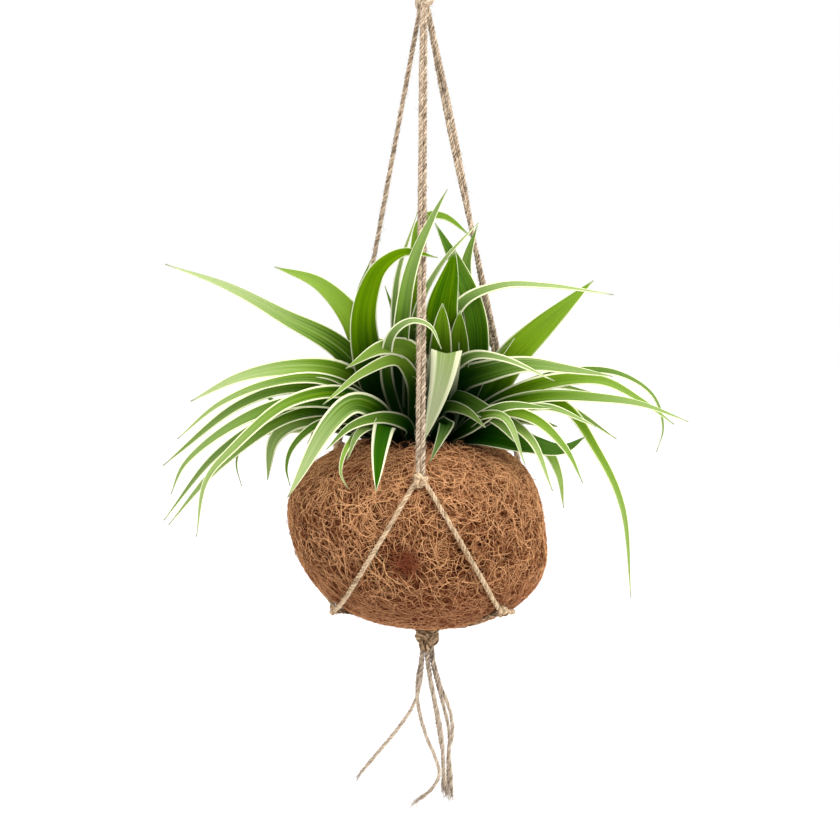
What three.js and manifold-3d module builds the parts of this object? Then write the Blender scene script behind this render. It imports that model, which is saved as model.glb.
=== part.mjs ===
// Kokedama on a net hanger: a variegated spider plant that grows from a ball of soil wrapped in
// coconut fibre, held in a net of knotted jute twine with a hanging loop and a tassel.
// Millimetres, +Z up. The origin is the point where the loop bears on its hook; the front faces -Y.
import * as THREE from 'three';
import { mergeVertices } from 'three/addons/utils/BufferGeometryUtils.js';
import Module from 'manifold-3d';

const wasm = await Module();
wasm.setup();

// ---- driving dimensions ----

const GAP = 0.3; // clearance between neighbouring pieces
const TWINE = 2.7; // diameter of the twine
const PAIR = TWINE + GAP; // spacing of two strands that run side by side
const TAIL = 2.4; // diameter of the slackened tails
const TUBE_SIDES = 8;

const BALL_RADIUS = 74.5;
const BALL_MIDDLE = -353; // height of the widest level
const BALL_UP = 54; // from the widest level to the crown of the ball
const BALL_DOWN = 58.5; // from the widest level to its underside
// Exponents that round the ball's outline: its radius below the middle, its height above and below.
const ROUND_RADIUS = 0.91;
const ROUND_UP = 0.77;
const ROUND_DOWN = 0.83;
const SWAY = 4; // how far the lopsided ball stands to the left above SWAY_LEVEL and to the right below
const SWAY_LEVEL = -368;
const SWAY_SPAN = 66;
const LUMP = 0.7; // height of the lumps in the fibre
const COIR_WALL = 7;
const MOUTH = 36; // radius of the opening that the plant grows out of
const MOUTH_LIP = 3;
const RIM_RISE = 0.3;
const BALL_SIDES = 32;

const CROWN_LEVEL = -303; // height where the leaves leave the crown
const CROWN_WIDE = 27;
const CROWN_DEEP = 18;
const CROWN_TOP = 3; // above CROWN_LEVEL
const CROWN_FOOT = 13; // below CROWN_LEVEL

const TOP_KNOT = new THREE.Vector3(1.5, 0, -54.5);
const LOOP_HALF_WIDTH = 9;
const BOTTOM_KNOT = new THREE.Vector3(3.5, 0, -420.9);
// The net's knots: degrees round the ball, from +X, and height.
const SIDE_KNOTS = { front: [272, -321], right: [31, -329], left: [141, -315] };
const LOW_KNOTS = { right: [311, -392], back: [84, -397], left: [201, -396.5] };

const JUTE = { color: 0xc8a882, roughness: 0.95, metalness: 0 };
const COIR = { color: 0x9a6a42, roughness: 1, metalness: 0 };
const SOIL = { color: 0x3a2a1e, roughness: 1, metalness: 0 };
const LEAF = { color: 0x6f9a2e, roughness: 0.45, metalness: 0 };

// ---- solids ----

function manifoldOf(geometry) {
  const bare = geometry.clone();
  bare.deleteAttribute('normal');
  bare.deleteAttribute('uv');
  const welded = mergeVertices(bare, 1e-4);
  const index = Array.from(welded.index.array);
  const kept = [];
  for (let i = 0; i < index.length; i += 3) {
    const [a, b, c] = index.slice(i, i + 3);
    if (a !== b && b !== c && c !== a) kept.push(a, b, c);
  }
  const mesh = new wasm.Mesh({
    numProp: 3,
    vertProperties: new Float32Array(welded.getAttribute('position').array),
    triVerts: new Uint32Array(kept),
  });
  return new wasm.Manifold(mesh);
}

// The main body alone, without loose scraps and with any sealed hollow filled.
function largestPiece(manifold) {
  return manifold.decompose().sort((a, b) => b.volume() - a.volume())[0];
}

function geometryOf(manifold) {
  const mesh = manifold.getMesh();
  const geometry = new THREE.BufferGeometry();
  geometry.setAttribute('position', new THREE.Float32BufferAttribute(mesh.vertProperties, 3));
  geometry.setIndex(Array.from(mesh.triVerts));
  geometry.computeVertexNormals();
  return geometry;
}

const part = new THREE.Group();

function place(name, manifold, look) {
  const mesh = new THREE.Mesh(geometryOf(manifold), new THREE.MeshStandardMaterial(look));
  mesh.name = name;
  part.add(mesh);
}

function tube(points, diameter, steps) {
  const section = new THREE.Shape();
  for (let i = 0; i < TUBE_SIDES; i += 1) {
    const angle = (2 * Math.PI * i) / TUBE_SIDES;
    const x = (diameter / 2) * Math.cos(angle);
    const y = (diameter / 2) * Math.sin(angle);
    if (i === 0) section.moveTo(x, y);
    else section.lineTo(x, y);
  }
  section.closePath();
  const extrudePath = new THREE.CatmullRomCurve3(points, false, 'centripetal');
  return manifoldOf(new THREE.ExtrudeGeometry(section, { steps, extrudePath, curveSegments: 1 }));
}

// ---- the ball ----

// The sideways place of the ball's middle at a height.
function sway(z) {
  return SWAY * Math.sin((Math.PI * (SWAY_LEVEL - z)) / SWAY_SPAN);
}

// The ball's radius at a latitude.
function skinRadius(latitude) {
  const c = Math.max(Math.cos(latitude), 0);
  return BALL_RADIUS * (latitude > 0 ? c : c ** ROUND_RADIUS);
}

// A point of the ball's skin, lifted off it. Latitude runs from -90 degrees underneath to 90 on top.
function ballPoint(angle, latitude, lift) {
  const up = latitude > 0;
  const c = Math.max(Math.cos(latitude), 0);
  const s = Math.abs(Math.sin(latitude));
  const radius = skinRadius(latitude) + lift * c;
  const height = up ? BALL_UP * s ** ROUND_UP : -BALL_DOWN * s ** ROUND_DOWN;
  const z = BALL_MIDDLE + height + lift * Math.sin(latitude);
  return new THREE.Vector3(radius * Math.cos(angle) + sway(z), radius * Math.sin(angle), z);
}

// The latitude of a height on the ball.
function latitudeOf(z) {
  const height = z - BALL_MIDDLE;
  if (height > 0) return Math.asin(Math.min(height / BALL_UP, 1) ** (1 / ROUND_UP));
  return -Math.asin(Math.min(-height / BALL_DOWN, 1) ** (1 / ROUND_DOWN));
}

// Height of the ball's underside below a point.
function undersideAt(point) {
  let z = BALL_MIDDLE - BALL_DOWN;
  for (let i = 0; i < 4; i += 1) {
    const radius = Math.hypot(point.x - sway(z), point.y);
    const latitude = -Math.acos(Math.min(radius / BALL_RADIUS, 1) ** (1 / ROUND_RADIUS));
    z = ballPoint(0, latitude, 0).z;
  }
  return z;
}

function lump(angle, latitude) {
  const broad = Math.sin(3 * angle + 1.1) * Math.cos(2 * latitude - 0.4);
  const fine = Math.sin(7 * angle - 0.6) * Math.sin(5 * latitude + 0.8);
  return LUMP * Math.cos(latitude) * (0.6 * broad + 0.4 * fine - 1);
}

function lathe(profile, sides) {
  return new THREE.LatheGeometry(profile, sides).rotateX(Math.PI / 2);
}

// Moves every vertex of a lathed solid from round to the ball's lopsided shape.
function swayed(geometry, lumpy) {
  const position = geometry.getAttribute('position');
  for (let i = 0; i < position.count; i += 1) {
    let x = position.getX(i);
    let y = position.getY(i);
    const z = position.getZ(i);
    const radius = Math.hypot(x, y);
    if (lumpy && radius > 1) {
      const angle = Math.atan2(y, x);
      const skin = ballPoint(angle, latitudeOf(z), 0);
      const reach = Math.hypot(skin.x - sway(z), skin.y);
      const depth = Math.min(Math.max((reach - radius) / COIR_WALL, 0), 1);
      const grown = radius + (1 - depth) * lump(angle, latitudeOf(z));
      x *= grown / radius;
      y *= grown / radius;
    }
    position.setXYZ(i, x + sway(z), y, z);
  }
  return geometry;
}

// Radius and height down the ball's side, from a latitude to the underside, at a depth in the skin.
function profileBelow(depth, count, from) {
  const points = [];
  for (let i = 0; i <= count; i += 1) {
    const latitude = from - ((from + Math.PI / 2) * i) / count;
    const skin = ballPoint(0, latitude, -depth);
    const radius = skin.x - sway(skin.z);
    points.push(new THREE.Vector2(i === count ? 0 : Math.max(radius, 0.5), skin.z));
  }
  return points;
}

const mouthLatitude = Math.acos((MOUTH + MOUTH_LIP) / BALL_RADIUS);
const innerMouthLatitude = Math.acos((MOUTH + 1) / (BALL_RADIUS - COIR_WALL));
const outer = profileBelow(0, 16, mouthLatitude);
const inner = profileBelow(COIR_WALL, 7, innerMouthLatitude);
const rim = new THREE.Vector2(MOUTH, outer[0].y + RIM_RISE);
const coirProfile = [...outer.slice().reverse(), rim, ...inner];
const coir = manifoldOf(swayed(lathe(coirProfile, BALL_SIDES), true));

// ---- the plant ----

// Each leaf: width, how late it narrows to its tip, the angle that its face is turned to the front
// at its base and at its tip, and the points of its midrib as x, y and height above the crown.
const LEAVES = [
  // upright
  [20, 2, 80, 70, [-12, -5, 0], [-28, -16, 39], [-32, -24, 66], [-29, -31, 84], [-22, -38, 98],
    [-9, -42, 106], [9, -46, 103]],
  [9, 2.4, 60, 60, [-10, 5, 0], [-28, 6, 44], [-36, 7, 80], [-29, 7, 103]],
  [9.5, 3.4, 85, 70, [-2, -11, 0], [-11, -24, 36], [-9, -40, 80], [-3, -47, 104], [8, -50, 128],
    [14, -53, 139]],
  [6, 2.4, 70, 70, [-4, 3, 0], [-13, 0, 45], [-14, -8, 89], [-2, -15, 129]],
  [11, 4, 70, 60, [1, 5, 0], [-7, 4, 45], [-3, 2, 94], [2, 0, 126], [13, -5, 127], [28, -9, 116]],
  [14, 4, 80, 60, [13, 3, 0], [30, 3, 34], [32, -1, 63], [28, -4, 81], [21, -8, 98], [8, -12, 123]],
  [23, 4, 75, 70, [4, -3, 0], [10, -8, 40], [12, -14, 75], [16, -17, 93], [19, -19, 108]],
  [5, 3, 60, 60, [0, 2, 0], [-6, -2, 40], [-2, -8, 74], [12, -13, 101], [32, -16, 123]],
  [13, 3, 70, 60, [9, 4, 0], [21, 6, 36], [26, 6, 74], [26, 2, 101], [32, -2, 122]],
  [14, 6, 80, 80, [4, -7, 0], [10, -20, 41], [12, -28, 78]],
  [15, 5, 70, 60, [8, -3, 0], [19, -9, 34], [22, -18, 74]],
  [6, 2.4, 80, 80, [-3, -6, 0], [-10, -13, 37], [-7, -20, 64]],
  [22, 1, 65, 55, [-14, 1, 0], [-43, -3, 49], [-79, -9, 71], [-108, -14, 87], [-143, -18, 100]],
  [19, 2.5, 65, 65, [-12, 6, 0], [-27, 6, 37], [-40, 8, 69], [-59, 10, 89], [-85, 12, 99]],
  [9, 2.4, 60, 45, [6, 0, 0], [11, -6, 51], [23, -9, 78], [45, -12, 88], [71, -15, 88], [108, -18, 83]],
  [21, 2.7, 70, 60, [19, 4, 0], [42, 6, 31], [55, 6, 49], [68, 5, 62], [99, 3, 91]],
  [8, 2.4, 60, 60, [16, 6, 0], [34, 6, 33], [54, 4, 58]],
  [6, 3, 60, 60, [-6, 8, 0], [-13, 10, 38], [-14, 12, 65], [-21, 14, 88]],
  // right
  [18, 1.8, 65, 50, [14, -5, 0], [20, -10, 31], [39, -20, 40], [60, -26, 44], [80, -31, 42],
    [106, -35, 38]],
  [11, 1.5, 65, 50, [8, -7, 0], [14, -20, 36], [28, -30, 49], [45, -36, 48], [73, -42, 36]],
  [13, 2, 55, 45, [18, -2, 0], [36, -8, 17], [70, -16, 33], [101, -23, 35], [123, -27, 24], [141, -30, 11]],
  [10, 1.3, 50, 30, [18, 3, 0], [46, 4, 23], [79, 4, 37], [112, 4, 38], [134, 3, 25], [140, 1, 6],
    [136, 0, -8]],
  [11, 2, 50, 45, [20, -7, 0], [39, -17, 17], [66, -27, 26], [99, -36, 26], [121, -42, 23], [146, -46, 14]],
  [8, 2.4, 45, 40, [18, 5, 0], [40, 9, 19], [72, 12, 30], [104, 14, 25]],
  [9, 2.2, 55, 40, [19, -9, 0], [40, -24, 14], [69, -35, 21], [96, -44, 11]],
  [9, 2.2, 50, 40, [22, 0, 0], [46, 0, 14], [80, 0, 19], [113, 0, 0]],
  [9, 1.5, 55, 40, [22, -3, 0], [52, -10, 18], [79, -15, 21], [100, -20, -6], [114, -21, -37],
    [120, -18, -90]],
  [11, 2.4, 60, 40, [15, -15, 0], [27, -34, 10], [46, -46, 22], [71, -55, 22]],
  [10, 2, 60, 50, [20, -11, 0], [39, -30, 18], [62, -42, 15], [79, -49, -1], [88, -52, -19]],
  [8, 2, 60, 50, [17, -14, 0], [35, -42, 17], [46, -55, 16], [56, -61, -8]],
  [8, 2.2, 60, 50, [20, -9, 0], [40, -27, 15], [60, -42, 4], [72, -49, -24]],
  [16, 2.6, 60, 60, [19, -8, 0], [35, -26, 5], [60, -30, 0], [79, -30, -3], [92, -28, 4]],
  [10, 2, 60, 60, [23, -2, 0], [45, -10, 5], [70, -16, -4], [78, -18, -18], [81, -18, -38]],
  [13, 3, 50, 50, [22, 5, 0], [48, 9, 12], [80, 12, 6]],
  [14, 2.6, 60, 60, [12, -10, 0], [17, -24, 23], [32, -34, 20], [43, -42, 13], [51, -46, 3]],
  // front
  [21, 3, 90, 95, [7, -10, 0], [14, -28, 31], [19, -42, 51], [12, -48, 35], [3, -52, 5]],
  [13, 1.6, 80, 80, [7, -13, 0], [14, -38, 12], [11, -50, 6], [5, -56, -7]],
  [10, 2.4, 65, 60, [9, -9, 0], [13, -28, 20], [25, -40, 19], [35, -48, 11]],
  [8, 2.4, 65, 60, [-8, -9, 0], [-19, -30, 37], [-16, -44, 61], [-5, -52, 69], [5, -56, 66], [11, -58, 54]],
  [20, 2, 75, 65, [-4, -8, 0], [-2, -26, 36], [-7, -33, 52], [-21, -39, 54], [-41, -46, 43]],
  [10, 2.2, 65, 60, [-5, -11, 0], [-4, -32, 34], [-13, -39, 47], [-31, -46, 41], [-53, -54, 24]],
  [13, 3, 70, 75, [-14, -14, 0], [-24, -37, 19], [-37, -50, 24], [-49, -57, 14], [-72, -60, -26]],
  [10, 2.2, 65, 60, [-6, -15, 0], [-9, -36, 12], [-22, -46, 16], [-38, -55, 12], [-51, -59, 0]],
  [8, 2.4, 70, 60, [-14, -14, 0], [-21, -40, 13], [-34, -54, 8], [-40, -59, -6]],
  [6, 2, 70, 70, [-15, -12, 0], [-28, -38, 11], [-40, -57, 1], [-43, -65, -12], [-39, -67, -20]],
  [13, 3.4, 85, 80, [-12, -16, 0], [-19, -44, 13], [-22, -61, 2], [-24, -71, -21]],
  // left
  [16, 2.2, 60, 50, [-14, -5, 0], [-28, -13, 24], [-46, -19, 39], [-72, -24, 42], [-101, -29, 37],
    [-128, -32, 24]],
  [9, 2.2, 55, 50, [-16, -6, 0], [-32, -17, 24], [-56, -26, 36], [-84, -32, 34], [-111, -38, 23],
    [-134, -41, 4]],
  [11, 2.2, 50, 50, [-16, -2, 0], [-34, -5, 21], [-69, -8, 30], [-102, -11, 21], [-147, -14, -14]],
  [11, 2.2, 55, 50, [-18, -8, 0], [-37, -22, 19], [-67, -34, 24], [-99, -43, 14], [-129, -47, -9],
    [-137, -48, -26]],
  [9, 2.2, 45, 45, [-18, 1, 0], [-38, 1, 19], [-76, 3, 16], [-118, 7, -9], [-151, 8, -49]],
  [9, 2.2, 55, 45, [-20, -6, 0], [-39, -17, 16], [-72, -25, 15], [-111, -32, -11], [-141, -33, -45]],
  [9, 2, 60, 55, [-16, -11, 0], [-39, -34, 28], [-71, -47, 25], [-102, -56, 0], [-116, -58, -17],
    [-122, -56, -48]],
  [6, 1.5, 50, 50, [-22, 4, 0], [-50, 11, 14], [-84, 16, 14], [-104, 17, -3], [-109, 17, -16],
    [-106, 17, -30]],
  [12, 3, 65, 65, [-22, -2, 0], [-49, -4, 11], [-72, -7, 10], [-84, -9, 0], [-88, -10, -23]],
  [7, 2, 60, 60, [-20, -10, 0], [-40, -27, 13], [-58, -36, 11], [-71, -42, -1], [-74, -43, -12],
    [-72, -43, -22]],
  [15, 2.6, 55, 55, [-20, 5, 0], [-41, 9, 6], [-71, 12, 13], [-92, 13, 24]],
  [9, 2.4, 50, 50, [-21, 8, 0], [-45, 15, 6], [-69, 21, 4], [-93, 24, 0]],
];

const LEAF_THICK = 0.8;
const LEAF_STEP = 22; // length of one stretch of a blade
const BACK_LEAVES = 10;

function seededDraws(seed) {
  let state = seed;
  return () => {
    state = (state * 1103515245 + 12345) % 2147483648;
    return state / 2147483648;
  };
}

// The leaves behind, fanned out between the two rear legs of the hanger.
function backLeaves() {
  const draw = seededDraws(7);
  const rows = [];
  for (let i = 0; i < BACK_LEAVES; i += 1) {
    const angle = THREE.MathUtils.degToRad(48 + (84 * i) / (BACK_LEAVES - 1) + 5 * (draw() - 0.5));
    const tier = (i * 2) % 5;
    const reach = 78 + 9 * tier + 14 * draw();
    const rise = 58 - 9 * tier + 8 * draw();
    const drop = 8 + 9 * tier + 20 * draw();
    const along = (share, height) => [
      reach * share * Math.cos(angle),
      8 + reach * share * Math.sin(angle),
      height,
    ];
    const start = [9 * Math.cos(angle) * 1.6, 7 + 7 * Math.sin(angle), 0];
    const width = 9 + 5 * draw();
    rows.push([width, 2.4, -10, 0, start, along(0.3, rise * 0.75), along(0.62, rise), along(1, rise - drop)]);
  }
  return rows;
}

// The width of a blade along its length, as a share of its full width.
function leafWidth(share, taper) {
  const base = 0.4 + 0.6 * Math.sin((Math.min(share / 0.4, 1) * Math.PI) / 2);
  return base * (1 - share ** taper);
}

// A thin channelled blade along its midrib: rings of six points, split alike on both faces.
function leafSolid([width, taper, turnBase, turnTip, ...route]) {
  const points = route.map(([x, y, h]) => new THREE.Vector3(x, y, CROWN_LEVEL + h));
  const curve = new THREE.CatmullRomCurve3(points, false, 'centripetal');
  const count = Math.max(5, Math.round(curve.getLength() / LEAF_STEP));
  const vertices = [];
  for (let i = 0; i <= count; i += 1) {
    const share = i / count;
    const middle = curve.getPointAt(share);
    const along = curve.getTangentAt(share);
    const turn = THREE.MathUtils.degToRad(turnBase + (turnTip - turnBase) * share);
    const up = new THREE.Vector3(0, -Math.sin(turn), Math.cos(turn));
    up.addScaledVector(along, -up.dot(along)).normalize();
    const side = new THREE.Vector3().crossVectors(along, up);
    const half = Math.max((width / 2) * leafWidth(share, taper), 0.5);
    const fold = half * (0.45 - 0.25 * share);
    const thick = LEAF_THICK * (1 - 0.25 * share);
    for (const [across, top] of [[-1, 1], [0, 1], [1, 1], [1, 0], [0, 0], [-1, 0]]) {
      const lift = fold * (Math.abs(across) - 0.5) + thick * (top - 0.5);
      vertices.push(middle.clone().addScaledVector(side, half * across).addScaledVector(up, lift));
    }
  }
  const index = [];
  for (let i = 0; i < count; i += 1) {
    for (let k = 0; k < 6; k += 1) {
      const a = 6 * i + k;
      const b = 6 * i + ((k + 1) % 6);
      if (k < 3) index.push(a, b, b + 6, a, b + 6, a + 6);
      else index.push(a, b, a + 6, b, b + 6, a + 6);
    }
  }
  const last = 6 * count;
  index.push(0, 4, 1, 0, 5, 4, 1, 3, 2, 1, 4, 3);
  index.push(last, last + 1, last + 4, last, last + 4, last + 5);
  index.push(last + 1, last + 2, last + 3, last + 1, last + 3, last + 4);
  const geometry = new THREE.BufferGeometry().setFromPoints(vertices).setIndex(index);
  return manifoldOf(geometry);
}

function crownSolid(grow) {
  const profile = [
    new THREE.Vector2(0, -CROWN_FOOT - grow),
    new THREE.Vector2(0.8, -CROWN_FOOT - grow),
    new THREE.Vector2(1, -CROWN_FOOT + 4),
    new THREE.Vector2(1, 0),
    new THREE.Vector2(0.8, CROWN_TOP - 1 + grow),
    new THREE.Vector2(0, CROWN_TOP + grow),
  ];
  const geometry = lathe(profile, 20).scale(CROWN_WIDE + grow, CROWN_DEEP + grow, 1);
  return manifoldOf(geometry.translate(0, 0, CROWN_LEVEL));
}

const leaves = [...LEAVES, ...backLeaves()].map(leafSolid);
const plant = leaves.reduce((whole, leaf) => whole.add(leaf), crownSolid(0));

// ---- the soil ----

const soilProfile = profileBelow(COIR_WALL + GAP, 7, innerMouthLatitude).reverse();
const soilTop = [new THREE.Vector2(MOUTH * 0.8, CROWN_LEVEL - 2.5), new THREE.Vector2(0, CROWN_LEVEL - 1)];
const soilGeometry = swayed(lathe([...soilProfile, ...soilTop], BALL_SIDES), false);
const soil = manifoldOf(soilGeometry).subtract(crownSolid(GAP));

// ---- knots ----

// A knot drawn tight: a rounded body with the twine's turns raised round a tilted axis.
function knotSolid(centre, size, tilt, grow) {
  const geometry = new THREE.SphereGeometry(1, 12, 8);
  const axis = new THREE.Vector3(0, Math.sin(tilt), Math.cos(tilt));
  const position = geometry.getAttribute('position');
  const point = new THREE.Vector3();
  for (let i = 0; i < position.count; i += 1) {
    point.fromBufferAttribute(position, i);
    const turns = 1 + 0.09 * Math.cos(3 * Math.PI * point.dot(axis));
    position.setXYZ(i, point.x * turns, point.y * turns, point.z * turns);
  }
  geometry.scale(size.x / 2 + grow, size.y / 2 + grow, size.z / 2 + grow);
  return manifoldOf(geometry.translate(centre.x, centre.y, centre.z));
}

const knots = [];

function makeKnot(name, centre, size, tilt) {
  knots.push(knotSolid(centre, size, tilt, GAP));
  place(name, knotSolid(centre, size, tilt, 0), JUTE);
}

// A strand of twine whose ends butt against the knots that they run into.
function placeStrand(name, points, diameter, steps) {
  let strand = tube(points, diameter, steps);
  for (const knot of knots) strand = strand.subtract(knot);
  place(name, largestPiece(strand), JUTE);
}

// ---- the hanger ----

const radians = THREE.MathUtils.degToRad;
const SIDE_KNOT_SIZE = new THREE.Vector3(8.2, 7.4, 9);
const LOW_KNOT_SIZE = new THREE.Vector3(6.4, 6.4, 7.4);

function besideBall([degrees, level], lift) {
  return ballPoint(radians(degrees), latitudeOf(level), lift);
}

// Half a strand's spacing, level, across the way that strands gather from a low knot.
function besideGather(low) {
  const heading = BOTTOM_KNOT.clone().sub(low).setZ(0).normalize();
  return new THREE.Vector3(-heading.y, heading.x, 0).multiplyScalar(PAIR / 2);
}

const sideKnots = {};
const lowKnots = {};

makeKnot('top_knot', TOP_KNOT, new THREE.Vector3(12, 12.5, 15), 0.9);
for (const [name, spot] of Object.entries(SIDE_KNOTS)) {
  sideKnots[name] = besideBall(spot, 4.9);
  makeKnot(`side_knot_${name}`, sideKnots[name], SIDE_KNOT_SIZE, 0.7);
}
for (const [name, spot] of Object.entries(LOW_KNOTS)) {
  lowKnots[name] = besideBall(spot, 3.9);
  makeKnot(`low_knot_${name}`, lowKnots[name], LOW_KNOT_SIZE, 1.1);
}
makeKnot('bottom_knot', BOTTOM_KNOT, new THREE.Vector3(14.5, 13, 14.4), 0.5);

// The loop: three cords side by side, bent over the hook.
const loopRoute = (y) => [
  new THREE.Vector3(TOP_KNOT.x - 2.5, y, TOP_KNOT.z + 4),
  new THREE.Vector3(-7.6, y, TOP_KNOT.z + 19),
  new THREE.Vector3(-LOOP_HALF_WIDTH, y, -LOOP_HALF_WIDTH - 3),
  new THREE.Vector3(-0.72 * LOOP_HALF_WIDTH, y, -2.3),
  new THREE.Vector3(0, y, TWINE / 2),
  new THREE.Vector3(0.72 * LOOP_HALF_WIDTH, y, -2.3),
  new THREE.Vector3(LOOP_HALF_WIDTH, y, -LOOP_HALF_WIDTH - 3),
  new THREE.Vector3(7.6, y, TOP_KNOT.z + 19),
  new THREE.Vector3(TOP_KNOT.x + 2.5, y, TOP_KNOT.z + 4),
];
for (let i = 0; i < 3; i += 1) placeStrand(`loop_strand_${i + 1}`, loopRoute((i - 1) * PAIR), TWINE, 10);

// The legs: two strands from the top knot to each side knot, twisted about each other by degrees.
const LEGS = {
  front: { start: new THREE.Vector3(0, -PAIR, -2), across: 50, twist: -50 },
  left: { start: new THREE.Vector3(-PAIR / 2, PAIR / 2, -2), across: 90, twist: 0 },
  right: { start: new THREE.Vector3(PAIR / 2, PAIR / 2, -2), across: 90, twist: 360 },
};
for (const [name, leg] of Object.entries(LEGS)) {
  const steps = Math.max(5, Math.round(Math.abs(leg.twist) / 26));
  for (const [strand, sign] of [['a', 1], ['b', -1]]) {
    const points = [];
    for (let i = 0; i <= steps; i += 1) {
      const share = i / steps;
      const turn = radians(leg.across + leg.twist * share);
      const offset = new THREE.Vector3(Math.cos(turn), Math.sin(turn), 0).multiplyScalar((sign * PAIR) / 2);
      points.push(TOP_KNOT.clone().add(leg.start).lerp(sideKnots[name], share).add(offset));
    }
    placeStrand(`leg_${name}_strand_${strand}`, points, TWINE, steps);
  }
}

// The net: from each side knot one strand runs down the ball to the low knot on either hand. Seen
// from straight in front of its side knot it is a straight line where the bow is 1, and with a
// greater bow it drops first. The dip is how far it swings down below that line.
const NET = [
  ['front', 'left', 1, 0],
  ['front', 'right', 1, 0],
  ['right', 'right', 2.6, 10],
  ['right', 'back', 1, 0],
  ['left', 'left', 1.6, 0],
  ['left', 'back', 1, 0],
];
const NET_STEPS = 10;
const EYE_REACH = 850; // distance and height of the spots that those lines are straight from
const EYE_LEVEL = -218;

// The point of the ball's skin, lifted, that hides a spot inside the ball from the eye.
function seenFrom(eye, spot, lift) {
  let near = 0.7;
  let far = 1;
  for (let i = 0; i < 20; i += 1) {
    const half = (near + far) / 2;
    const point = eye.clone().lerp(spot, half);
    const reach = Math.hypot(point.x - sway(point.z), point.y);
    if (reach < skinRadius(latitudeOf(point.z)) + lift) far = half;
    else near = half;
  }
  const { x, y, z } = eye.clone().lerp(spot, far);
  return ballPoint(Math.atan2(y, x - sway(z)), latitudeOf(z), lift);
}

for (const [side, low, bow, dip] of NET) {
  const facing = radians(SIDE_KNOTS[side][0]);
  const ahead = new THREE.Vector3(Math.cos(facing), Math.sin(facing), 0);
  const sideways = new THREE.Vector3(-ahead.y, ahead.x, 0);
  const eye = ahead.clone().multiplyScalar(EYE_REACH).setZ(EYE_LEVEL);
  const from = sideKnots[side].clone();
  const to = lowKnots[low].clone();
  const across = besideGather(to);
  to.addScaledVector(across, Math.sign(from.clone().sub(to).dot(across)));
  from.addScaledVector(sideways, (Math.sign(to.clone().sub(from).dot(sideways)) * PAIR) / 2);
  const points = [from];
  for (let i = 1; i < NET_STEPS; i += 1) {
    const share = i / NET_STEPS;
    const spot = from.clone().lerp(to, share ** bow);
    spot.z = THREE.MathUtils.lerp(to.z, from.z, (1 - share) ** bow);
    spot.z -= dip * Math.sin(Math.PI * share ** 1.5);
    points.push(seenFrom(eye, spot, TWINE / 2 + 0.5));
  }
  points.push(to);
  placeStrand(`net_${side}_to_${low}`, points, TWINE, NET_STEPS);
}

// Under the ball two strands run from each low knot to the bottom knot.
const GATHER_STEPS = 5;
for (const [name, low] of Object.entries(lowKnots)) {
  for (const [strand, sign] of [['a', 1], ['b', -1]]) {
    const points = [];
    const from = low.clone();
    const across = besideGather(from).multiplyScalar(sign);
    points.push(from.clone().add(across));
    for (let i = 1; i < GATHER_STEPS; i += 1) {
      const share = i / GATHER_STEPS;
      const spot = from.clone().lerp(BOTTOM_KNOT, share).add(across);
      spot.z = undersideAt(spot) - TWINE / 2 - 0.5;
      points.push(spot);
    }
    points.push(BOTTOM_KNOT.clone().add(across));
    placeStrand(`gather_${name}_strand_${strand}`, points, TWINE, GATHER_STEPS);
  }
}

// The tassel: the six tails below the bottom knot, each with its route's points as x, y, z.
const TAILS = {
  tail_1: [[0.8, -1.4, -423], [0.6, -1.6, -432], [-0.5, -3, -446], [-4, -4.5, -458], [-14, -6.5, -473],
    [-25, -8, -486], [-35, -8.5, -498]],
  tail_2: [[0.8, 1.4, -423], [0.3, 1.6, -432], [-2.2, 2.6, -448], [-1.5, 2, -462], [3, -2, -478],
    [9, -5.5, -492], [10.5, -6, -501], [5, -6, -510], [0, -6, -514]],
  tail_3: [[3.5, 1.4, -423], [3.6, 1.6, -432], [5.4, 3.2, -447], [8, 5, -461], [10.5, 7, -478],
    [13, 7, -493], [13, 6.5, -511]],
  tail_4: [[6.2, 1.4, -423], [6.4, 1.6, -432], [9.4, 2.5, -447], [13.4, 3.2, -462], [16.6, 3.2, -478],
    [16, 3.6, -494], [16.2, 4, -512]],
  tail_5: [[6.2, -1.4, -423], [6.8, -1.6, -432], [11.4, -2.6, -448], [17, -3.2, -463], [18.4, -3, -476],
    [16.4, -2.4, -488], [17.6, -1, -502], [18, 0.4, -513]],
  tail_6: [[3.5, -1.4, -423], [3.9, -1.8, -432], [6, -3, -446], [9.4, -3.6, -462], [12.4, -3, -480],
    [13, -1.4, -496], [15, -2.6, -511]],
};
for (const [name, route] of Object.entries(TAILS)) {
  placeStrand(name, route.map((p) => new THREE.Vector3(...p)), TAIL, 10);
}

// ---- the assembly ----

place('coir_wrap', coir, COIR);
place('soil_ball', soil, SOIL);
place('spider_plant', largestPiece(plant), LEAF);

export default part;
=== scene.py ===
"""Looks of a kokedama on a net hanger: a spider plant in a ball wrapped in coconut fibre."""

import math

import bmesh
import bpy
import numpy as np
from bpy.props import FloatProperty, FloatVectorProperty, IntProperty, PointerProperty
from mathutils import Matrix, Vector, noise


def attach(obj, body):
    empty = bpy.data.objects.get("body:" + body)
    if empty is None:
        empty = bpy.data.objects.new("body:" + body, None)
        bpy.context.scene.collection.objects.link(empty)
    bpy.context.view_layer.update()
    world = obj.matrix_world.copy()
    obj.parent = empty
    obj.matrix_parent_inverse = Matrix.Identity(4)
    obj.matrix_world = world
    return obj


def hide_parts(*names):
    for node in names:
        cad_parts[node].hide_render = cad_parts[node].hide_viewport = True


bl_info = {
    "name": "Hanging Kokedama",
    "version": (1, 0, 0),
    "blender": (4, 5, 0),
    "location": "View3D > Sidebar > Kokedama",
    "description": "Makes a spider plant in a ball of coconut fibre that hangs in a net of jute twine",
    "category": "Add Mesh",
}

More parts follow.
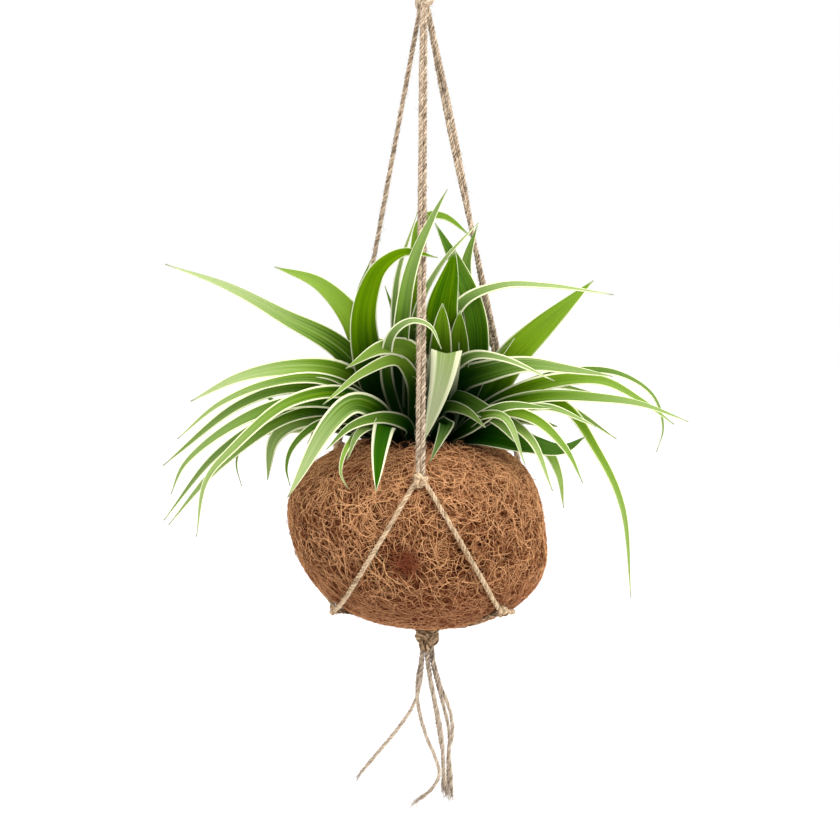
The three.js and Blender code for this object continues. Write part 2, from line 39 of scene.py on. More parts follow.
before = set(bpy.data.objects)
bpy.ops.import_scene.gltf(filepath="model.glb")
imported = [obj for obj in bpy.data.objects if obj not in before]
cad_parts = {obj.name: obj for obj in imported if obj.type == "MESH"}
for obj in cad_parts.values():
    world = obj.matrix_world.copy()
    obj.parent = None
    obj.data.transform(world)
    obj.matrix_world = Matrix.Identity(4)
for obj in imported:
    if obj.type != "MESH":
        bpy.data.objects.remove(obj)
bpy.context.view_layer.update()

MM = 0.001
BODY = "root"

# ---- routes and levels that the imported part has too, in millimetres ----

PAIR = 3.0  # spacing of two strands that run side by side
TIGHT = 0.88  # share of that spacing at which the soft twine of a leg is pressed together
SWAY = 4.0  # how far the ball's levels are shifted to either side
SWAY_LEVEL = -368.0  # the level that isn't shifted
SWAY_SPAN = 66.0  # height in which the shift swings over and back
ROUND_RADIUS = 0.91  # powers that make the ball fuller than an ellipsoid
ROUND_UP = 0.77
ROUND_DOWN = 0.83
COIR_WALL = 7.0  # thickness of the coir
MOUTH_LIP = 3.0  # width of the rounded rim of its opening
RIM_RISE = 0.3  # of the inner edge of that rim over its outer edge
CROWN_LEVEL = -303.0  # where the leaves leave the soil
LOOP_HALF_WIDTH = 9.0
SIDE_LIFT = 4.9  # the middles of the side knots over the ball's skin
LOW_LIFT = 3.9  # the middles of the low knots over it, where the strands meet
NET_LIFT = 1.7  # the strands of the net over the skin
TOP_KNOT = np.array((1.5, 0.0, -54.5))
BOTTOM_KNOT = np.array((3.5, 0.0, -420.9))
# The bearing in degrees and the level of each knot on the ball.
SIDE_KNOTS = {"front": (272, -321), "right": (31, -329), "left": (141, -315)}
LOW_KNOTS = {"right": (311, -392), "back": (84, -397), "left": (201, -396.5)}
EYE_REACH = 850.0  # distance of the eye that sees each strand of the net run straight
EYE_LEVEL = -218.0  # and its level
STRANDS_OF_TWO = (("a", 1), ("b", -1))  # letter and side of the strands that run side by side

TAILS = {
    "tail_1": [(0.8, -1.4, -423), (0.6, -1.6, -432), (-0.5, -3, -446), (-4, -4.5, -458),
               (-14, -6.5, -473), (-25, -8, -486), (-35, -8.5, -498)],
    "tail_2": [(0.8, 1.4, -423), (0.3, 1.6, -432), (-2.2, 2.6, -448), (-1.5, 2, -462), (3, -2, -478),
               (9, -5.5, -492), (10.5, -6, -501), (5, -6, -510), (0, -6, -514)],
    "tail_3": [(3.5, 1.4, -423), (3.6, 1.6, -432), (5.4, 3.2, -447), (8, 5, -461), (10.5, 7, -478),
               (13, 7, -493), (13, 6.5, -511)],
    "tail_4": [(6.2, 1.4, -423), (6.4, 1.6, -432), (9.4, 2.5, -447), (13.4, 3.2, -462),
               (16.6, 3.2, -478), (16, 3.6, -494), (16.2, 4, -512)],
    "tail_5": [(6.2, -1.4, -423), (6.8, -1.6, -432), (11.4, -2.6, -448), (17, -3.2, -463),
               (18.4, -3, -476), (16.4, -2.4, -488), (17.6, -1, -502), (18, 0.4, -513)],
    "tail_6": [(3.5, -1.4, -423), (3.9, -1.8, -432), (6, -3, -446), (9.4, -3.6, -462),
               (12.4, -3, -480), (13, -1.4, -496), (15, -2.6, -511)],
}

# Side knot, low knot, bow and dip of each strand of the net.
NET = [
    ("front", "left", 1.0, 0.0),
    ("front", "right", 1.0, 0.0),
    ("right", "right", 2.6, 10.0),
    ("right", "back", 1.0, 0.0),
    ("left", "left", 1.6, 0.0),
    ("left", "back", 1.0, 0.0),
]

# Each leaf: width, how late it narrows to its tip, the angle that its face is turned to the front
# at its base and at its tip, and the points of its midrib as x, y and height above the crown.
LEAVES = {
    "upright": [
        [20, 2, 80, 70, [-12, -5, 0], [-28, -16, 39], [-32, -24, 66], [-29, -31, 84], [-22, -38, 98],
         [-9, -42, 106], [9, -46, 103]],
        [9, 2.4, 60, 60, [-10, 5, 0], [-28, 6, 44], [-36, 7, 80], [-29, 7, 103]],
        [9.5, 3.4, 85, 70, [-2, -11, 0], [-11, -24, 36], [-9, -40, 80], [-3, -47, 104], [8, -50, 128],
         [14, -53, 139]],
        [6, 2.4, 70, 70, [-4, 3, 0], [-13, 0, 45], [-14, -8, 89], [-2, -15, 129]],
        [11, 4, 70, 60, [1, 5, 0], [-7, 4, 45], [-3, 2, 94], [2, 0, 126], [13, -5, 127], [28, -9, 116]],
        [14, 4, 80, 60, [13, 3, 0], [30, 3, 34], [32, -1, 63], [28, -4, 81], [21, -8, 98], [8, -12, 123]],
        [23, 4, 75, 70, [4, -3, 0], [10, -8, 40], [12, -14, 75], [16, -17, 93], [19, -19, 108]],
        [5, 3, 60, 60, [0, 2, 0], [-6, -2, 40], [-2, -8, 74], [12, -13, 101], [32, -16, 123]],
        [13, 3, 70, 60, [9, 4, 0], [21, 6, 36], [26, 6, 74], [26, 2, 101], [32, -2, 122]],
        [14, 6, 80, 80, [4, -7, 0], [10, -20, 41], [12, -28, 78]],
        [15, 5, 70, 60, [8, -3, 0], [19, -9, 34], [22, -18, 74]],
        [6, 2.4, 80, 80, [-3, -6, 0], [-10, -13, 37], [-7, -20, 64]],
        [22, 1, 65, 55, [-14, 1, 0], [-43, -3, 49], [-79, -9, 71], [-108, -14, 87], [-143, -18, 100]],
        [19, 2.5, 65, 65, [-12, 6, 0], [-27, 6, 37], [-40, 8, 69], [-59, 10, 89], [-85, 12, 99]],
        [9, 2.4, 60, 45, [6, 0, 0], [11, -6, 51], [23, -9, 78], [45, -12, 88], [71, -15, 88],
         [108, -18, 83]],
        [21, 2.7, 70, 60, [19, 4, 0], [42, 6, 31], [55, 6, 49], [68, 5, 62], [99, 3, 91]],
        [8, 2.4, 60, 60, [16, 6, 0], [34, 6, 33], [54, 4, 58]],
        [6, 3, 60, 60, [-6, 8, 0], [-13, 10, 38], [-14, 12, 65], [-21, 14, 88]],
    ],
    "right": [
        [18, 1.8, 65, 50, [14, -5, 0], [20, -10, 31], [39, -20, 40], [60, -26, 44], [80, -31, 42],
         [106, -35, 38]],
        [11, 1.5, 65, 50, [8, -7, 0], [14, -20, 36], [28, -30, 49], [45, -36, 48], [73, -42, 36]],
        [13, 2, 55, 45, [18, -2, 0], [36, -8, 17], [70, -16, 33], [101, -23, 35], [123, -27, 24],
         [141, -30, 11]],
        [10, 1.3, 50, 30, [18, 3, 0], [46, 4, 23], [79, 4, 37], [112, 4, 38], [134, 3, 25], [140, 1, 6],
         [136, 0, -8]],
        [11, 2, 50, 45, [20, -7, 0], [39, -17, 17], [66, -27, 26], [99, -36, 26], [121, -42, 23],
         [146, -46, 14]],
        [8, 2.4, 45, 40, [18, 5, 0], [40, 9, 19], [72, 12, 30], [104, 14, 25]],
        [9, 2.2, 55, 40, [19, -9, 0], [40, -24, 14], [69, -35, 21], [96, -44, 11]],
        [9, 2.2, 50, 40, [22, 0, 0], [46, 0, 14], [80, 0, 19], [113, 0, 0]],
        [9, 1.5, 55, 40, [22, -3, 0], [52, -10, 18], [79, -15, 21], [100, -20, -6], [114, -21, -37],
         [120, -18, -90]],
        [11, 2.4, 60, 40, [15, -15, 0], [27, -34, 10], [46, -46, 22], [71, -55, 22]],
        [10, 2, 60, 50, [20, -11, 0], [39, -30, 18], [62, -42, 15], [79, -49, -1], [88, -52, -19]],
        [8, 2, 60, 50, [17, -14, 0], [35, -42, 17], [46, -55, 16], [56, -61, -8]],
        [8, 2.2, 60, 50, [20, -9, 0], [40, -27, 15], [60, -42, 4], [72, -49, -24]],
        [16, 2.6, 60, 60, [19, -8, 0], [35, -26, 5], [60, -30, 0], [79, -30, -3], [92, -28, 4]],
        [10, 2, 60, 60, [23, -2, 0], [45, -10, 5], [70, -16, -4], [78, -18, -18], [81, -18, -38]],
        [13, 3, 50, 50, [22, 5, 0], [48, 9, 12], [80, 12, 6]],
        [14, 2.6, 60, 60, [12, -10, 0], [17, -24, 23], [32, -34, 20], [43, -42, 13], [51, -46, 3]],
    ],
    "front": [
        [20, 3, -60, 70, [7, -10, 0], [11, -28, 32], [14, -42, 52], [11, -50, 36], [2, -55, 5]],
        [13, 1.6, 80, 80, [7, -13, 0], [14, -38, 12], [11, -50, 6], [5, -56, -7]],
        [10, 2.4, 65, 60, [9, -9, 0], [13, -28, 20], [25, -40, 19], [35, -48, 11]],
        [8, 2.4, 65, 60, [-8, -9, 0], [-19, -30, 37], [-16, -44, 61], [-5, -52, 69], [5, -56, 66],
         [11, -58, 54]],
        [20, 2, 75, 65, [-4, -8, 0], [-2, -26, 36], [-7, -33, 52], [-21, -39, 54], [-41, -46, 43]],
        [10, 2.2, 65, 60, [-5, -11, 0], [-4, -32, 34], [-13, -39, 47], [-31, -46, 41], [-53, -54, 24]],
        [13, 3, 70, 75, [-14, -14, 0], [-24, -37, 19], [-37, -50, 24], [-49, -57, 14], [-72, -60, -26]],
        [10, 2.2, 65, 60, [-6, -15, 0], [-9, -36, 12], [-22, -46, 16], [-38, -55, 12], [-51, -59, 0]],
        [8, 2.4, 70, 60, [-14, -14, 0], [-21, -40, 13], [-34, -54, 8], [-40, -59, -6]],
        [6, 2, 70, 70, [-15, -12, 0], [-28, -38, 11], [-40, -57, 1], [-43, -65, -12], [-39, -67, -20]],
        [13, 3.4, 85, 80, [-12, -16, 0], [-19, -44, 13], [-22, -61, 2], [-24, -71, -21]],
    ],
    "left": [
        [16, 2.2, 60, 50, [-14, -5, 0], [-28, -13, 24], [-46, -19, 39], [-72, -24, 42], [-101, -29, 37],
         [-128, -32, 24]],
        [9, 2.2, 55, 50, [-16, -6, 0], [-32, -17, 24], [-56, -26, 36], [-84, -32, 34], [-111, -38, 23],
         [-134, -41, 4]],
        [11, 2.2, 50, 50, [-16, -2, 0], [-34, -5, 21], [-69, -8, 30], [-102, -11, 21], [-147, -14, -14]],
        [11, 2.2, 55, 50, [-18, -8, 0], [-37, -22, 19], [-67, -34, 24], [-99, -43, 14], [-129, -47, -9],
         [-137, -48, -26]],
        [9, 2.2, 45, 45, [-18, 1, 0], [-38, 1, 19], [-76, 3, 16], [-118, 7, -9], [-151, 8, -49]],
        [9, 2.2, 55, 45, [-20, -6, 0], [-39, -17, 16], [-72, -25, 15], [-111, -32, -11], [-141, -33, -45]],
        [9, 2, 60, 55, [-16, -11, 0], [-39, -34, 28], [-71, -47, 25], [-102, -56, 0], [-116, -58, -17],
         [-122, -56, -48]],
        [6, 1.5, 50, 50, [-22, 4, 0], [-50, 11, 14], [-84, 16, 14], [-104, 17, -3], [-109, 17, -16],
         [-106, 17, -30]],
        [12, 3, 65, 65, [-22, -2, 0], [-49, -4, 11], [-72, -7, 10], [-84, -9, 0], [-88, -10, -23]],
        [7, 2, 60, 60, [-20, -10, 0], [-40, -27, 13], [-58, -36, 11], [-71, -42, -1], [-74, -43, -12],
         [-72, -43, -22]],
        [15, 2.6, 55, 55, [-20, 5, 0], [-41, 9, 6], [-71, 12, 13], [-92, 13, 24]],
        [9, 2.4, 50, 50, [-21, 8, 0], [-45, 15, 6], [-69, 21, 4], [-93, 24, 0]],
    ],
}
BACK_LEAVES = 10

# ---- the looks' own values, in millimetres unless they say otherwise ----

CAMERA = (-0.58, -846.8, -218.2)
CAMERA_TILT = 85.0  # degrees from looking straight down

LOW_SEAT = 3.3  # the visible low knots over the skin, pressed a little into the fibres
GATHER_SINK = 0.6  # how far the gathered strands are pressed into the underside
MAT_SINK = 2.4  # the coir's solid mat below the skin, under its loose fibres
FIBRES_IN_PIECE = 4800
BLADE_LEAST = 0.18  # half the width of a blade at its tip

# Radius of a strand's dark core, painted shade in the grooves between its yarns, of the circle that
# its yarns lie on and of a yarn, as shares of its thickness.
SHADE_CORE, LAY, YARN = 0.22, 0.28, 0.215
HAIR_EVERY = 0.9  # length of strand for each hair
HAIR = (0.075, 0.04)  # radius of a hair at its root and at its tip
WISP = (0.16, 0.06)  # the same of a loose fibre at a frayed end
FRAY, LONG_FRAY = 4.5, 6.5  # length of the frayed end of a tail, and of tail_2's
LOOSE_FROM = 0.93  # share of a tail's length beyond which its yarns come loose
NECK, NECK_END = 0.4, 0.3  # how much thicker a tail is at its knot, and where along it that ends
GRAIN = 260.0  # stretch of the fibre pattern along a yarn, per metre

# How far the twine's lighter shades are greyed towards the bleached colour: on the legs, on the net that
# lies on the ball and on the slack tails.
BLEACH = {"leg": 0.4, "net": 0.0, "tail": 0.65}
# Material and brightness of the strands in each part of the hanger.
STRANDS = {"loop": ("net", 0.45), "leg": ("leg", 0.55), "net": ("net", 0.8), "gather": ("net", 0.3)}

# Spots of the looks, in metres: the middle of the crown, a red stain and a slit in the coir.
CROWN = (0.0, 0.0, -0.288)
STAIN = (-0.008, -0.072, -0.362)
SLIT = (0.044, -0.05, -0.365)

FLOOR_RADIUS = 6.0  # in metres
# Each lamp: its place and its width in metres, and its share of the key light's power.
LAMPS = {"key": ((0.75, -0.85, 0.45), 0.7, 1.0), "top": ((-0.3, 0.1, 0.75), 0.9, 0.6)}
LIT = Vector((0, 0, -0.32))  # where the lamps point

# Blades unlike the rest of their group: how bright, how wide the cream margins are as a share of the
# blade, and how pale it turns towards the tip, partly its own colour and partly painted sheen.
LOOKS = {
    "upright": {
        0: (0.55, 0.08, 0.0), 2: (0.4, 0.12, 0.5), 3: (0.3, 0.3, 0.9), 5: (0.25, 0.07, 0.1),
        6: (0.4, 0.05, 0.0), 7: (0.5, 0.25, 0.8), 12: (0.6, 0.07, 1.0), 13: (0.95, 0.07, 0.2),
        14: (0.3, 0.3, 1.3), 15: (0.8, 0.08, 0.1),
    },
    "right": {
        0: (0.35, 0.2, 0.6), 1: (0.4, 0.35, 0.9), 13: (0.0, 0.08, 0.2), 16: (0.3, 0.1, 0.3),
    },
    "front": {
        0: (1.5, 0.4, 1.0), 1: (0.1, 0.2, 0.5), 3: (0.4, 0.3, 0.7), 4: (0.75, 0.2, 0.2),
        5: (0.9, 0.2, 0.3), 6: (0.5, 0.2, 1.0), 10: (0.0, 0.3, 0.0),
    },
    "left": {0: (0.7, 0.15, 0.8), 8: (0.5, 0.25, 0.7), 10: (0.1, 0.14, 0.1)},
}
# How bright and cream the other blades are, and how pale towards the tip with painted sheen: the least and
# the most.
USUAL = {"upright": ((0.3, 0.7), (0.07, 0.14), (0.0, 0.25))}
USUAL_BELOW = ((0.25, 0.85), (0.14, 0.26), (0.2, 0.75))


def rgb(red, green, blue):
    """A colour given as a screen shows it, from 0 to 255, as Blender's linear light."""
    shares = [value / 255 for value in (red, green, blue)]
    return tuple(s / 12.92 if s <= 0.04045 else ((s + 0.055) / 1.055) ** 2.4 for s in shares)


# ---- settings ----


def colour(name, description, *shown):
    """A colour property whose default is given as a screen shows it."""
    return FloatVectorProperty(
        name=name, description=description, subtype="COLOR", size=3, min=0, max=1, default=rgb(*shown)
    )


def length(name, description, millimetres):
    """A length property whose default is given in millimetres."""
    return FloatProperty(
        name=name, description=description, subtype="DISTANCE", unit="LENGTH", default=millimetres * MM
    )


class KokedamaTwine(bpy.types.PropertyGroup):
    """Sizes and colours of the hanger's twine."""

    diameter: length("Diameter", "Thickness of the twine", 2.85)
    tail: length("Tail", "Thickness of the slackened tails", 2.4)
    pitch: length("Pitch", "Length of one full turn of the plies", 7.5)
    hair: length("Hair", "Length of the hairs that stand off the twine", 3.5)
    plies: IntProperty(name="Plies", description="Yarns twisted into the twine", default=3, min=2, max=4)
    # The yarns take these colours by random flecks; the dark also fills each strand's core, as painted
    # shade in the grooves between the yarns.
    light: colour("Light", "Sunlit top of a yarn", 218, 192, 158)
    mid: colour("Middle", "Body of a yarn", 160, 132, 100)
    dark: colour("Dark", "Groove between two yarns", 66, 46, 28)
    # The colour that the twine's lighter shades are greyed towards, more on some parts of the hanger than
    # on others.
    bleached: colour("Bleached", "Yarn that the light has greyed", 224, 212, 196)


class KokedamaBall(bpy.types.PropertyGroup):
    """Sizes and colours of the coconut fibre ball."""

    radius: length("Radius", "Radius at the widest level", 74.5)
    middle: length("Middle", "Height of the widest level", -353.0)
    up: length("Up", "From the widest level to the crown", 54.0)
    down: length("Down", "From the widest level to the underside", 58.5)
    mouth: length("Mouth", "Radius of the opening round the plant", 36.0)
    fibre: length("Fibre", "Thickness of a fibre", 0.4)
    reach: length("Reach", "Length of a fibre", 17.0)
    fibres: IntProperty(name="Fibres", description="How many fibres cover the ball", default=34000, min=100)
    light: colour("Light", "Bleached fibres", 232, 176, 124)
    mid: colour("Middle", "Most fibres", 138, 79, 44)
    # The darkest fibres; the deep fibres and the mat under them take it too, as painted shade between the
    # fibres.
    dark: colour("Dark", "Fibres deep in the mat", 36, 12, 5)
    red: colour("Red", "Rusty patches", 126, 58, 36)


class KokedamaPlant(bpy.types.PropertyGroup):
    """Sizes and colours of the leaves and the soil."""

    thick: length("Thickness", "Thickness of a blade", 0.5)
    step: length("Step", "Length of one stretch of a blade", 3.0)
    across: IntProperty(name="Across", description="Faces across a blade", default=8, min=4, max=20)
    bright: colour("Bright", "Young green of a blade", 112, 148, 0)
    green: colour("Green", "Middle green of a blade", 34, 80, 0)
    deep: colour("Deep", "Green towards the crown", 10, 60, 0)
    shade: colour("Shade", "Blades between the others", 2, 26, 1)
    cream: colour("Cream", "Margins of a blade", 232, 234, 192)
    # Pale outer half of a blade: partly its own colour, partly painted sheen.
    washed_and_sheen: colour("Washed", "Pale outer half of a blade", 130, 156, 82)
    tip: colour("Tip", "Drying tips", 150, 160, 120)
    soil: colour("Soil", "Moist potting soil", 52, 36, 25)


class KokedamaStage(bpy.types.PropertyGroup):
    """Camera, floor and light."""

    lens: FloatProperty(name="Lens", description="Focal length in millimetres", default=63.13)
    floor: length("Floor", "Height of the floor", -575.0)
    key: FloatProperty(name="Key light", description="Power of the key light", unit="POWER", default=13.0)
    sky: FloatProperty(name="Sky", description="Strength of the white surroundings", default=1.0, min=0)
    pale: colour("Pale", "Colour of the floor", 235, 235, 236)


# ---- lines ----


def curved(points, dense=24):
    """Close points along the centripetal curve that runs through the given ones."""
    p = np.asarray(points, float)
    p = np.vstack([2 * p[0] - p[1], p, 2 * p[-1] - p[-2]])
    share = np.linspace(0, 1, dense, endpoint=False)[:, None]
    ahead = share**2 * (3 - 2 * share)
    runs = []
    for a, b, c, d in zip(p[:-3], p[1:-2], p[2:-1], p[3:]):
        t0, t1, t2 = (max(np.linalg.norm(v - u), 1e-9) ** 0.5 for u, v in ((a, b), (b, c), (c, d)))
        leave = ((b - a) / t0 - (c - a) / (t0 + t1) + (c - b) / t1) * t1
        reach = ((c - b) / t1 - (d - b) / (t1 + t2) + (d - c) / t2) * t1
        bend = (share**3 - 2 * share**2 + share) * leave + (share**3 - share**2) * reach
        runs.append((1 - ahead) * b + ahead * c + bend)
    return np.vstack([*runs, p[-2][None]])


def span(line):
    """Distance from the start of a line to each of its points."""
    return np.concatenate([[0], np.cumsum(np.linalg.norm(np.diff(line, axis=0), axis=1))])


def spaced(line, count):
    """The same line with count equal stretches."""
    along = span(line)
    at = np.linspace(0, along[-1], count + 1)
    return np.stack([np.interp(at, along, line[:, k]) for k in range(3)], axis=1)


def unit(vectors):
    """Vectors scaled to length one."""
    return vectors / np.maximum(np.linalg.norm(vectors, axis=-1, keepdims=True), 1e-12)


def headings(line):
    """The direction of a line at each point."""
    return unit(np.gradient(line, axis=0))


def frames(line):
    """Two directions across a line at each point, which don't turn about it."""
    along = headings(line)
    start = np.cross(along[0], (0.0, 0.0, 1.0) if abs(along[0][2]) < 0.9 else (0.0, 1.0, 0.0))
    across = [unit(start)]
    for direction in along[1:]:
        last = across[-1]
        across.append(unit(last - direction * last.dot(direction)))
    across = np.array(across)
    return across, np.cross(along, across)


# ---- meshes ----


def shown(obj, slot, *nodes):
    """Puts a finished piece in the scene on the part's body, in place of its nodes."""
    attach(obj, BODY)
    if nodes:
        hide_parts(*nodes)


def piece_of(bm, name, material):
    """A smooth-shaded object from a bmesh."""
    mesh = bpy.data.meshes.new(name)
    bm.to_mesh(mesh)
    bm.free()
    mesh.shade_smooth()
    mesh.materials.append(material)
    obj = bpy.data.objects.new(name, mesh)
    bpy.context.scene.collection.objects.link(obj)
    return obj


def tubes(name, lines, radii, tones, sides, material, grain=None):
    """One mesh of closed tubes along the lines, with a radius and a shade at each point of each.

    grain is the stretch of the fibre pattern along a tube. Each tube has a place of its own in it.
    """
    outline = bpy.data.curves.new(name + "_outline", "CURVE")
    outline.dimensions = "2D"
    ring = outline.splines.new("POLY")
    ring.points.add(sides - 1)
    for i, point in enumerate(ring.points):
        angle = -2 * math.pi * i / sides
        point.co = (math.cos(angle), math.sin(angle), 0, 1)
    ring.use_cyclic_u = True
    section = bpy.data.objects.new(name + "_outline", outline)
    curve = bpy.data.curves.new(name + "_lines", "CURVE")
    curve.dimensions = "3D"
    curve.bevel_mode = "OBJECT"
    curve.bevel_object = section
    for line, thickness in zip(lines, radii):
        spline = curve.splines.new("POLY")
        spline.points.add(len(line) - 1)
        spline.points.foreach_set("co", np.column_stack([line, np.ones(len(line))]).ravel())
        spline.points.foreach_set("radius", np.broadcast_to(thickness, len(line)).copy())
    bare = bpy.data.objects.new(name + "_lines", curve)
    collection = bpy.context.scene.collection
    collection.objects.link(section)
    collection.objects.link(bare)
    graph = bpy.context.evaluated_depsgraph_get()
    mesh = bpy.data.meshes.new_from_object(bare.evaluated_get(graph))
    for obj, data in ((bare, curve), (section, outline)):
        bpy.data.objects.remove(obj)
        bpy.data.curves.remove(data)
    mesh.name = name
    mesh.shade_smooth()
    mesh.materials.clear()
    mesh.materials.append(material)
    values = np.repeat(np.concatenate(tones), sides).astype(np.float32)
    mesh.attributes.new("tone", "FLOAT", "POINT").data.foreach_set("value", values)
    if grain is not None:
        around = np.linspace(0, 2 * math.pi, sides, endpoint=False)
        flows = []
        for i, line in enumerate(lines):
            along = span(line)[:, None] * grain + 7.3 * i
            flow = np.zeros((len(line), sides, 3))
            flow[..., 0] = np.cos(around)
            flow[..., 1] = np.sin(around)
            flow[..., 2] = along
            flows.append(flow.reshape(-1, 3))
        data = np.concatenate(flows).astype(np.float32).ravel()
        mesh.attributes.new("grain", "FLOAT_VECTOR", "POINT").data.foreach_set("vector", data)
    bm = bmesh.new()
    bm.from_mesh(mesh)
    bmesh.ops.holes_fill(bm, edges=[e for e in bm.edges if e.is_boundary], sides=sides)
    bm.to_mesh(mesh)
    bm.free()
    obj = bpy.data.objects.new(name, mesh)
    collection.objects.link(obj)
    return obj


# ---- shader maths ----


class Value:
    """One output socket of a material, with the arithmetic that its patterns use."""

    def __init__(self, finish, socket):
        self.finish = finish
        self.socket = socket

    def maths(self, operation, *others):
        """One arithmetic step on this value and the others."""
        return self.finish.node(
            "ShaderNodeMath", {"operation": operation}, dict(enumerate((self, *others)))
        )

    def __add__(self, other):
        return self.maths("ADD", other)

    __radd__ = __add__

    def __mul__(self, other):
        return self.maths("MULTIPLY", other)

    def __sub__(self, other):
        return self.maths("SUBTRACT", other)

    def __rsub__(self, other):
        return (self * -1.0) + other

    def __abs__(self):
        return self.maths("ABSOLUTE")

    def between(self, low, high):
        """0 below low, 1 above high, smooth in between."""
        settings = {"interpolation_type": "SMOOTHSTEP"}
        return self.finish.node("ShaderNodeMapRange", settings, {0: self, 1: low, 2: high})


class Finish:
    """A material under construction, with its Principled shader."""

    def __init__(self, name, constants):
        self.material = bpy.data.materials.new(name)
        self.material.use_nodes = True
        self.tree = self.material.node_tree
        self.shader = self.tree.nodes["Principled BSDF"]
        for socket, value in constants.items():
            self.feed(socket, value)

    def node(self, kind, settings=None, sockets=None, output=0):
        """Adds one node, with its settings made first, and gives one of its outputs."""
        made = self.tree.nodes.new(kind)
        for key, value in (settings or {}).items():
            if key == "stops":
                ramp = made.color_ramp.elements
                while len(ramp) < len(value):
                    ramp.new(1)
                for stop, (place, shade) in zip(ramp, value):
                    stop.position = place
                    stop.color = (*shade, 1)
            else:
                setattr(made, key, value)
        for key, value in (sockets or {}).items():
            self.put(made.inputs[key], value)
        return Value(self, made.outputs[output])

    def put(self, socket, value):
        """Links a value to a socket of any node, or sets the socket to a plain one."""
        if isinstance(value, Value):
            self.tree.links.new(value.socket, socket)
        elif hasattr(value, "__len__") and socket.type == "RGBA":
            socket.default_value = (*tuple(value)[:3], 1)
        else:
            socket.default_value = value

    def feed(self, socket, value):
        """Sets or links one socket of the shader."""
        self.put(self.shader.inputs[socket], value)

    def mix(self, factor, a, b):
        """Goes from colour a to colour b."""
        return self.node("ShaderNodeMix", {"data_type": "RGBA"}, {0: factor, 6: a, 7: b}, 2)

    def attribute(self, name, output=2):
        """A mesh attribute, as a number, or as a vector from output 1."""
        return self.node("ShaderNodeAttribute", {"attribute_name": name}, None, output)

    def place(self):
        """The point of the surface, in metres in the part's frame."""
        return self.node("ShaderNodeTexCoord", None, None, 3)

    def grain(self, vector, scale, detail=2.0, roughness=0.5):
        """Noise from 0 to 1."""
        sockets = {"Vector": vector, "Scale": scale, "Detail": detail, "Roughness": roughness}
        return self.node("ShaderNodeTexNoise", None, sockets)

    def ramp(self, stops, place):
        """A colour that goes from stop to stop."""
        return self.node("ShaderNodeValToRGB", {"stops": stops}, {0: place})

    def part(self, vector, axis):
        """One axis of a vector."""
        return self.node("ShaderNodeSeparateXYZ", None, {0: vector}, axis)

    def joined(self, *parts):
        """A vector from its three axes."""
        return self.node("ShaderNodeCombineXYZ", None, dict(enumerate(parts)))

    def away(self, spot, scale=(1, 1, 1)):
        """Distance from a spot, with each axis scaled."""
        place = self.node("ShaderNodeMapping", None, {"Vector": self.place(), "Scale": scale})
        sockets = {0: place, 1: [a * b for a, b in zip(spot, scale)]}
        return self.node("ShaderNodeVectorMath", {"operation": "DISTANCE"}, sockets, 1)

    def relief(self, height, strength, distance):
        """Bumps the surface by a height pattern."""
        sockets = {"Height": height, "Strength": strength, "Distance": distance}
        self.feed("Normal", self.node("ShaderNodeBump", None, sockets))


def jute_finish(name, twine, bleach):
    """Fibrous yarn with light and dark flecks, its lighter shades bleached more than its dark."""
    finish = Finish(name, {"Roughness": 0.95, "Specular IOR Level": 0.1})
    run = finish.attribute("grain", 1)
    fleck = finish.grain(run, 1.4, 2.0, 0.7)
    patch = finish.grain(finish.place(), 90.0, 2.0)
    shade = (fleck - 0.5) * 2.4 + (patch - 0.5) * 0.6 + finish.attribute("tone")
    stops = []
    for place, yarn, share in ((0.1, twine.dark, 0.15), (0.5, twine.mid, 0.65), (0.9, twine.light, 1.0)):
        pale = [(1 - bleach * share) * a + bleach * share * b for a, b in zip(yarn, twine.bleached)]
        stops.append((place, pale))
    finish.feed("Base Color", finish.ramp(stops, shade))
    finish.relief(finish.grain(run, 5.0, 2.0), 0.8, 0.0003)
    return finish.material


def coir_finish(name, ball, base):
    """Coconut fibre: each fibre has its own shade, and the mat has rusty and bleached patches. Deeper
    fibres, the mat under them and a slit are darker, painted shade; the top and the underside are lighter,
    painted light.
    """
    finish = Finish(name, {"Roughness": 0.9, "Specular IOR Level": 0.1})
    place = finish.place()
    patch = finish.grain(place, 34.0, 3.0, 0.6)
    speck = finish.grain(place, 420.0, 2.0)
    height = finish.part(place, 2)
    low = height.between(-0.345, -0.415)
    high = height.between(-0.37, -0.315)
    # The mat under the loose fibres stays near the dark colour: painted shade in the gaps between the
    # fibres.
    if base:
        shade = finish.grain(place, 900.0, 3.0) * 0.1
    else:
        shade = finish.attribute("tone") * 1.2 - 0.12 + (speck - 0.5) * 0.45
    # Lighter near the top and on the underside: painted light, on the underside against the shade beneath
    # the ball. The underside is also redder.
    shade = shade + (patch - 0.5) * 0.5 + low * 0.2 + high * 0.2
    mat = finish.ramp([(0.0, ball.dark), (0.5, ball.mid), (1.0, ball.light)], shade)
    stain = finish.away(STAIN).between(0.013, 0.003)
    rust = (patch * 0.6 + finish.grain(place, 11.0, 2.0) * 0.6 + low * 0.25).between(0.55, 0.95) * 0.5
    mat = finish.mix(rust + stain * (0.25 + shade * 0.7), mat, ball.red)
    # A slit in the coir, painted dark as the shade inside it.
    slit = finish.away(SLIT, (1, 1, 0.35)).between(0.006, 0.002)
    finish.feed("Base Color", finish.mix(slit * 0.85, mat, ball.dark))
    finish.relief(speck, 0.5, 0.0004)
    return finish.material


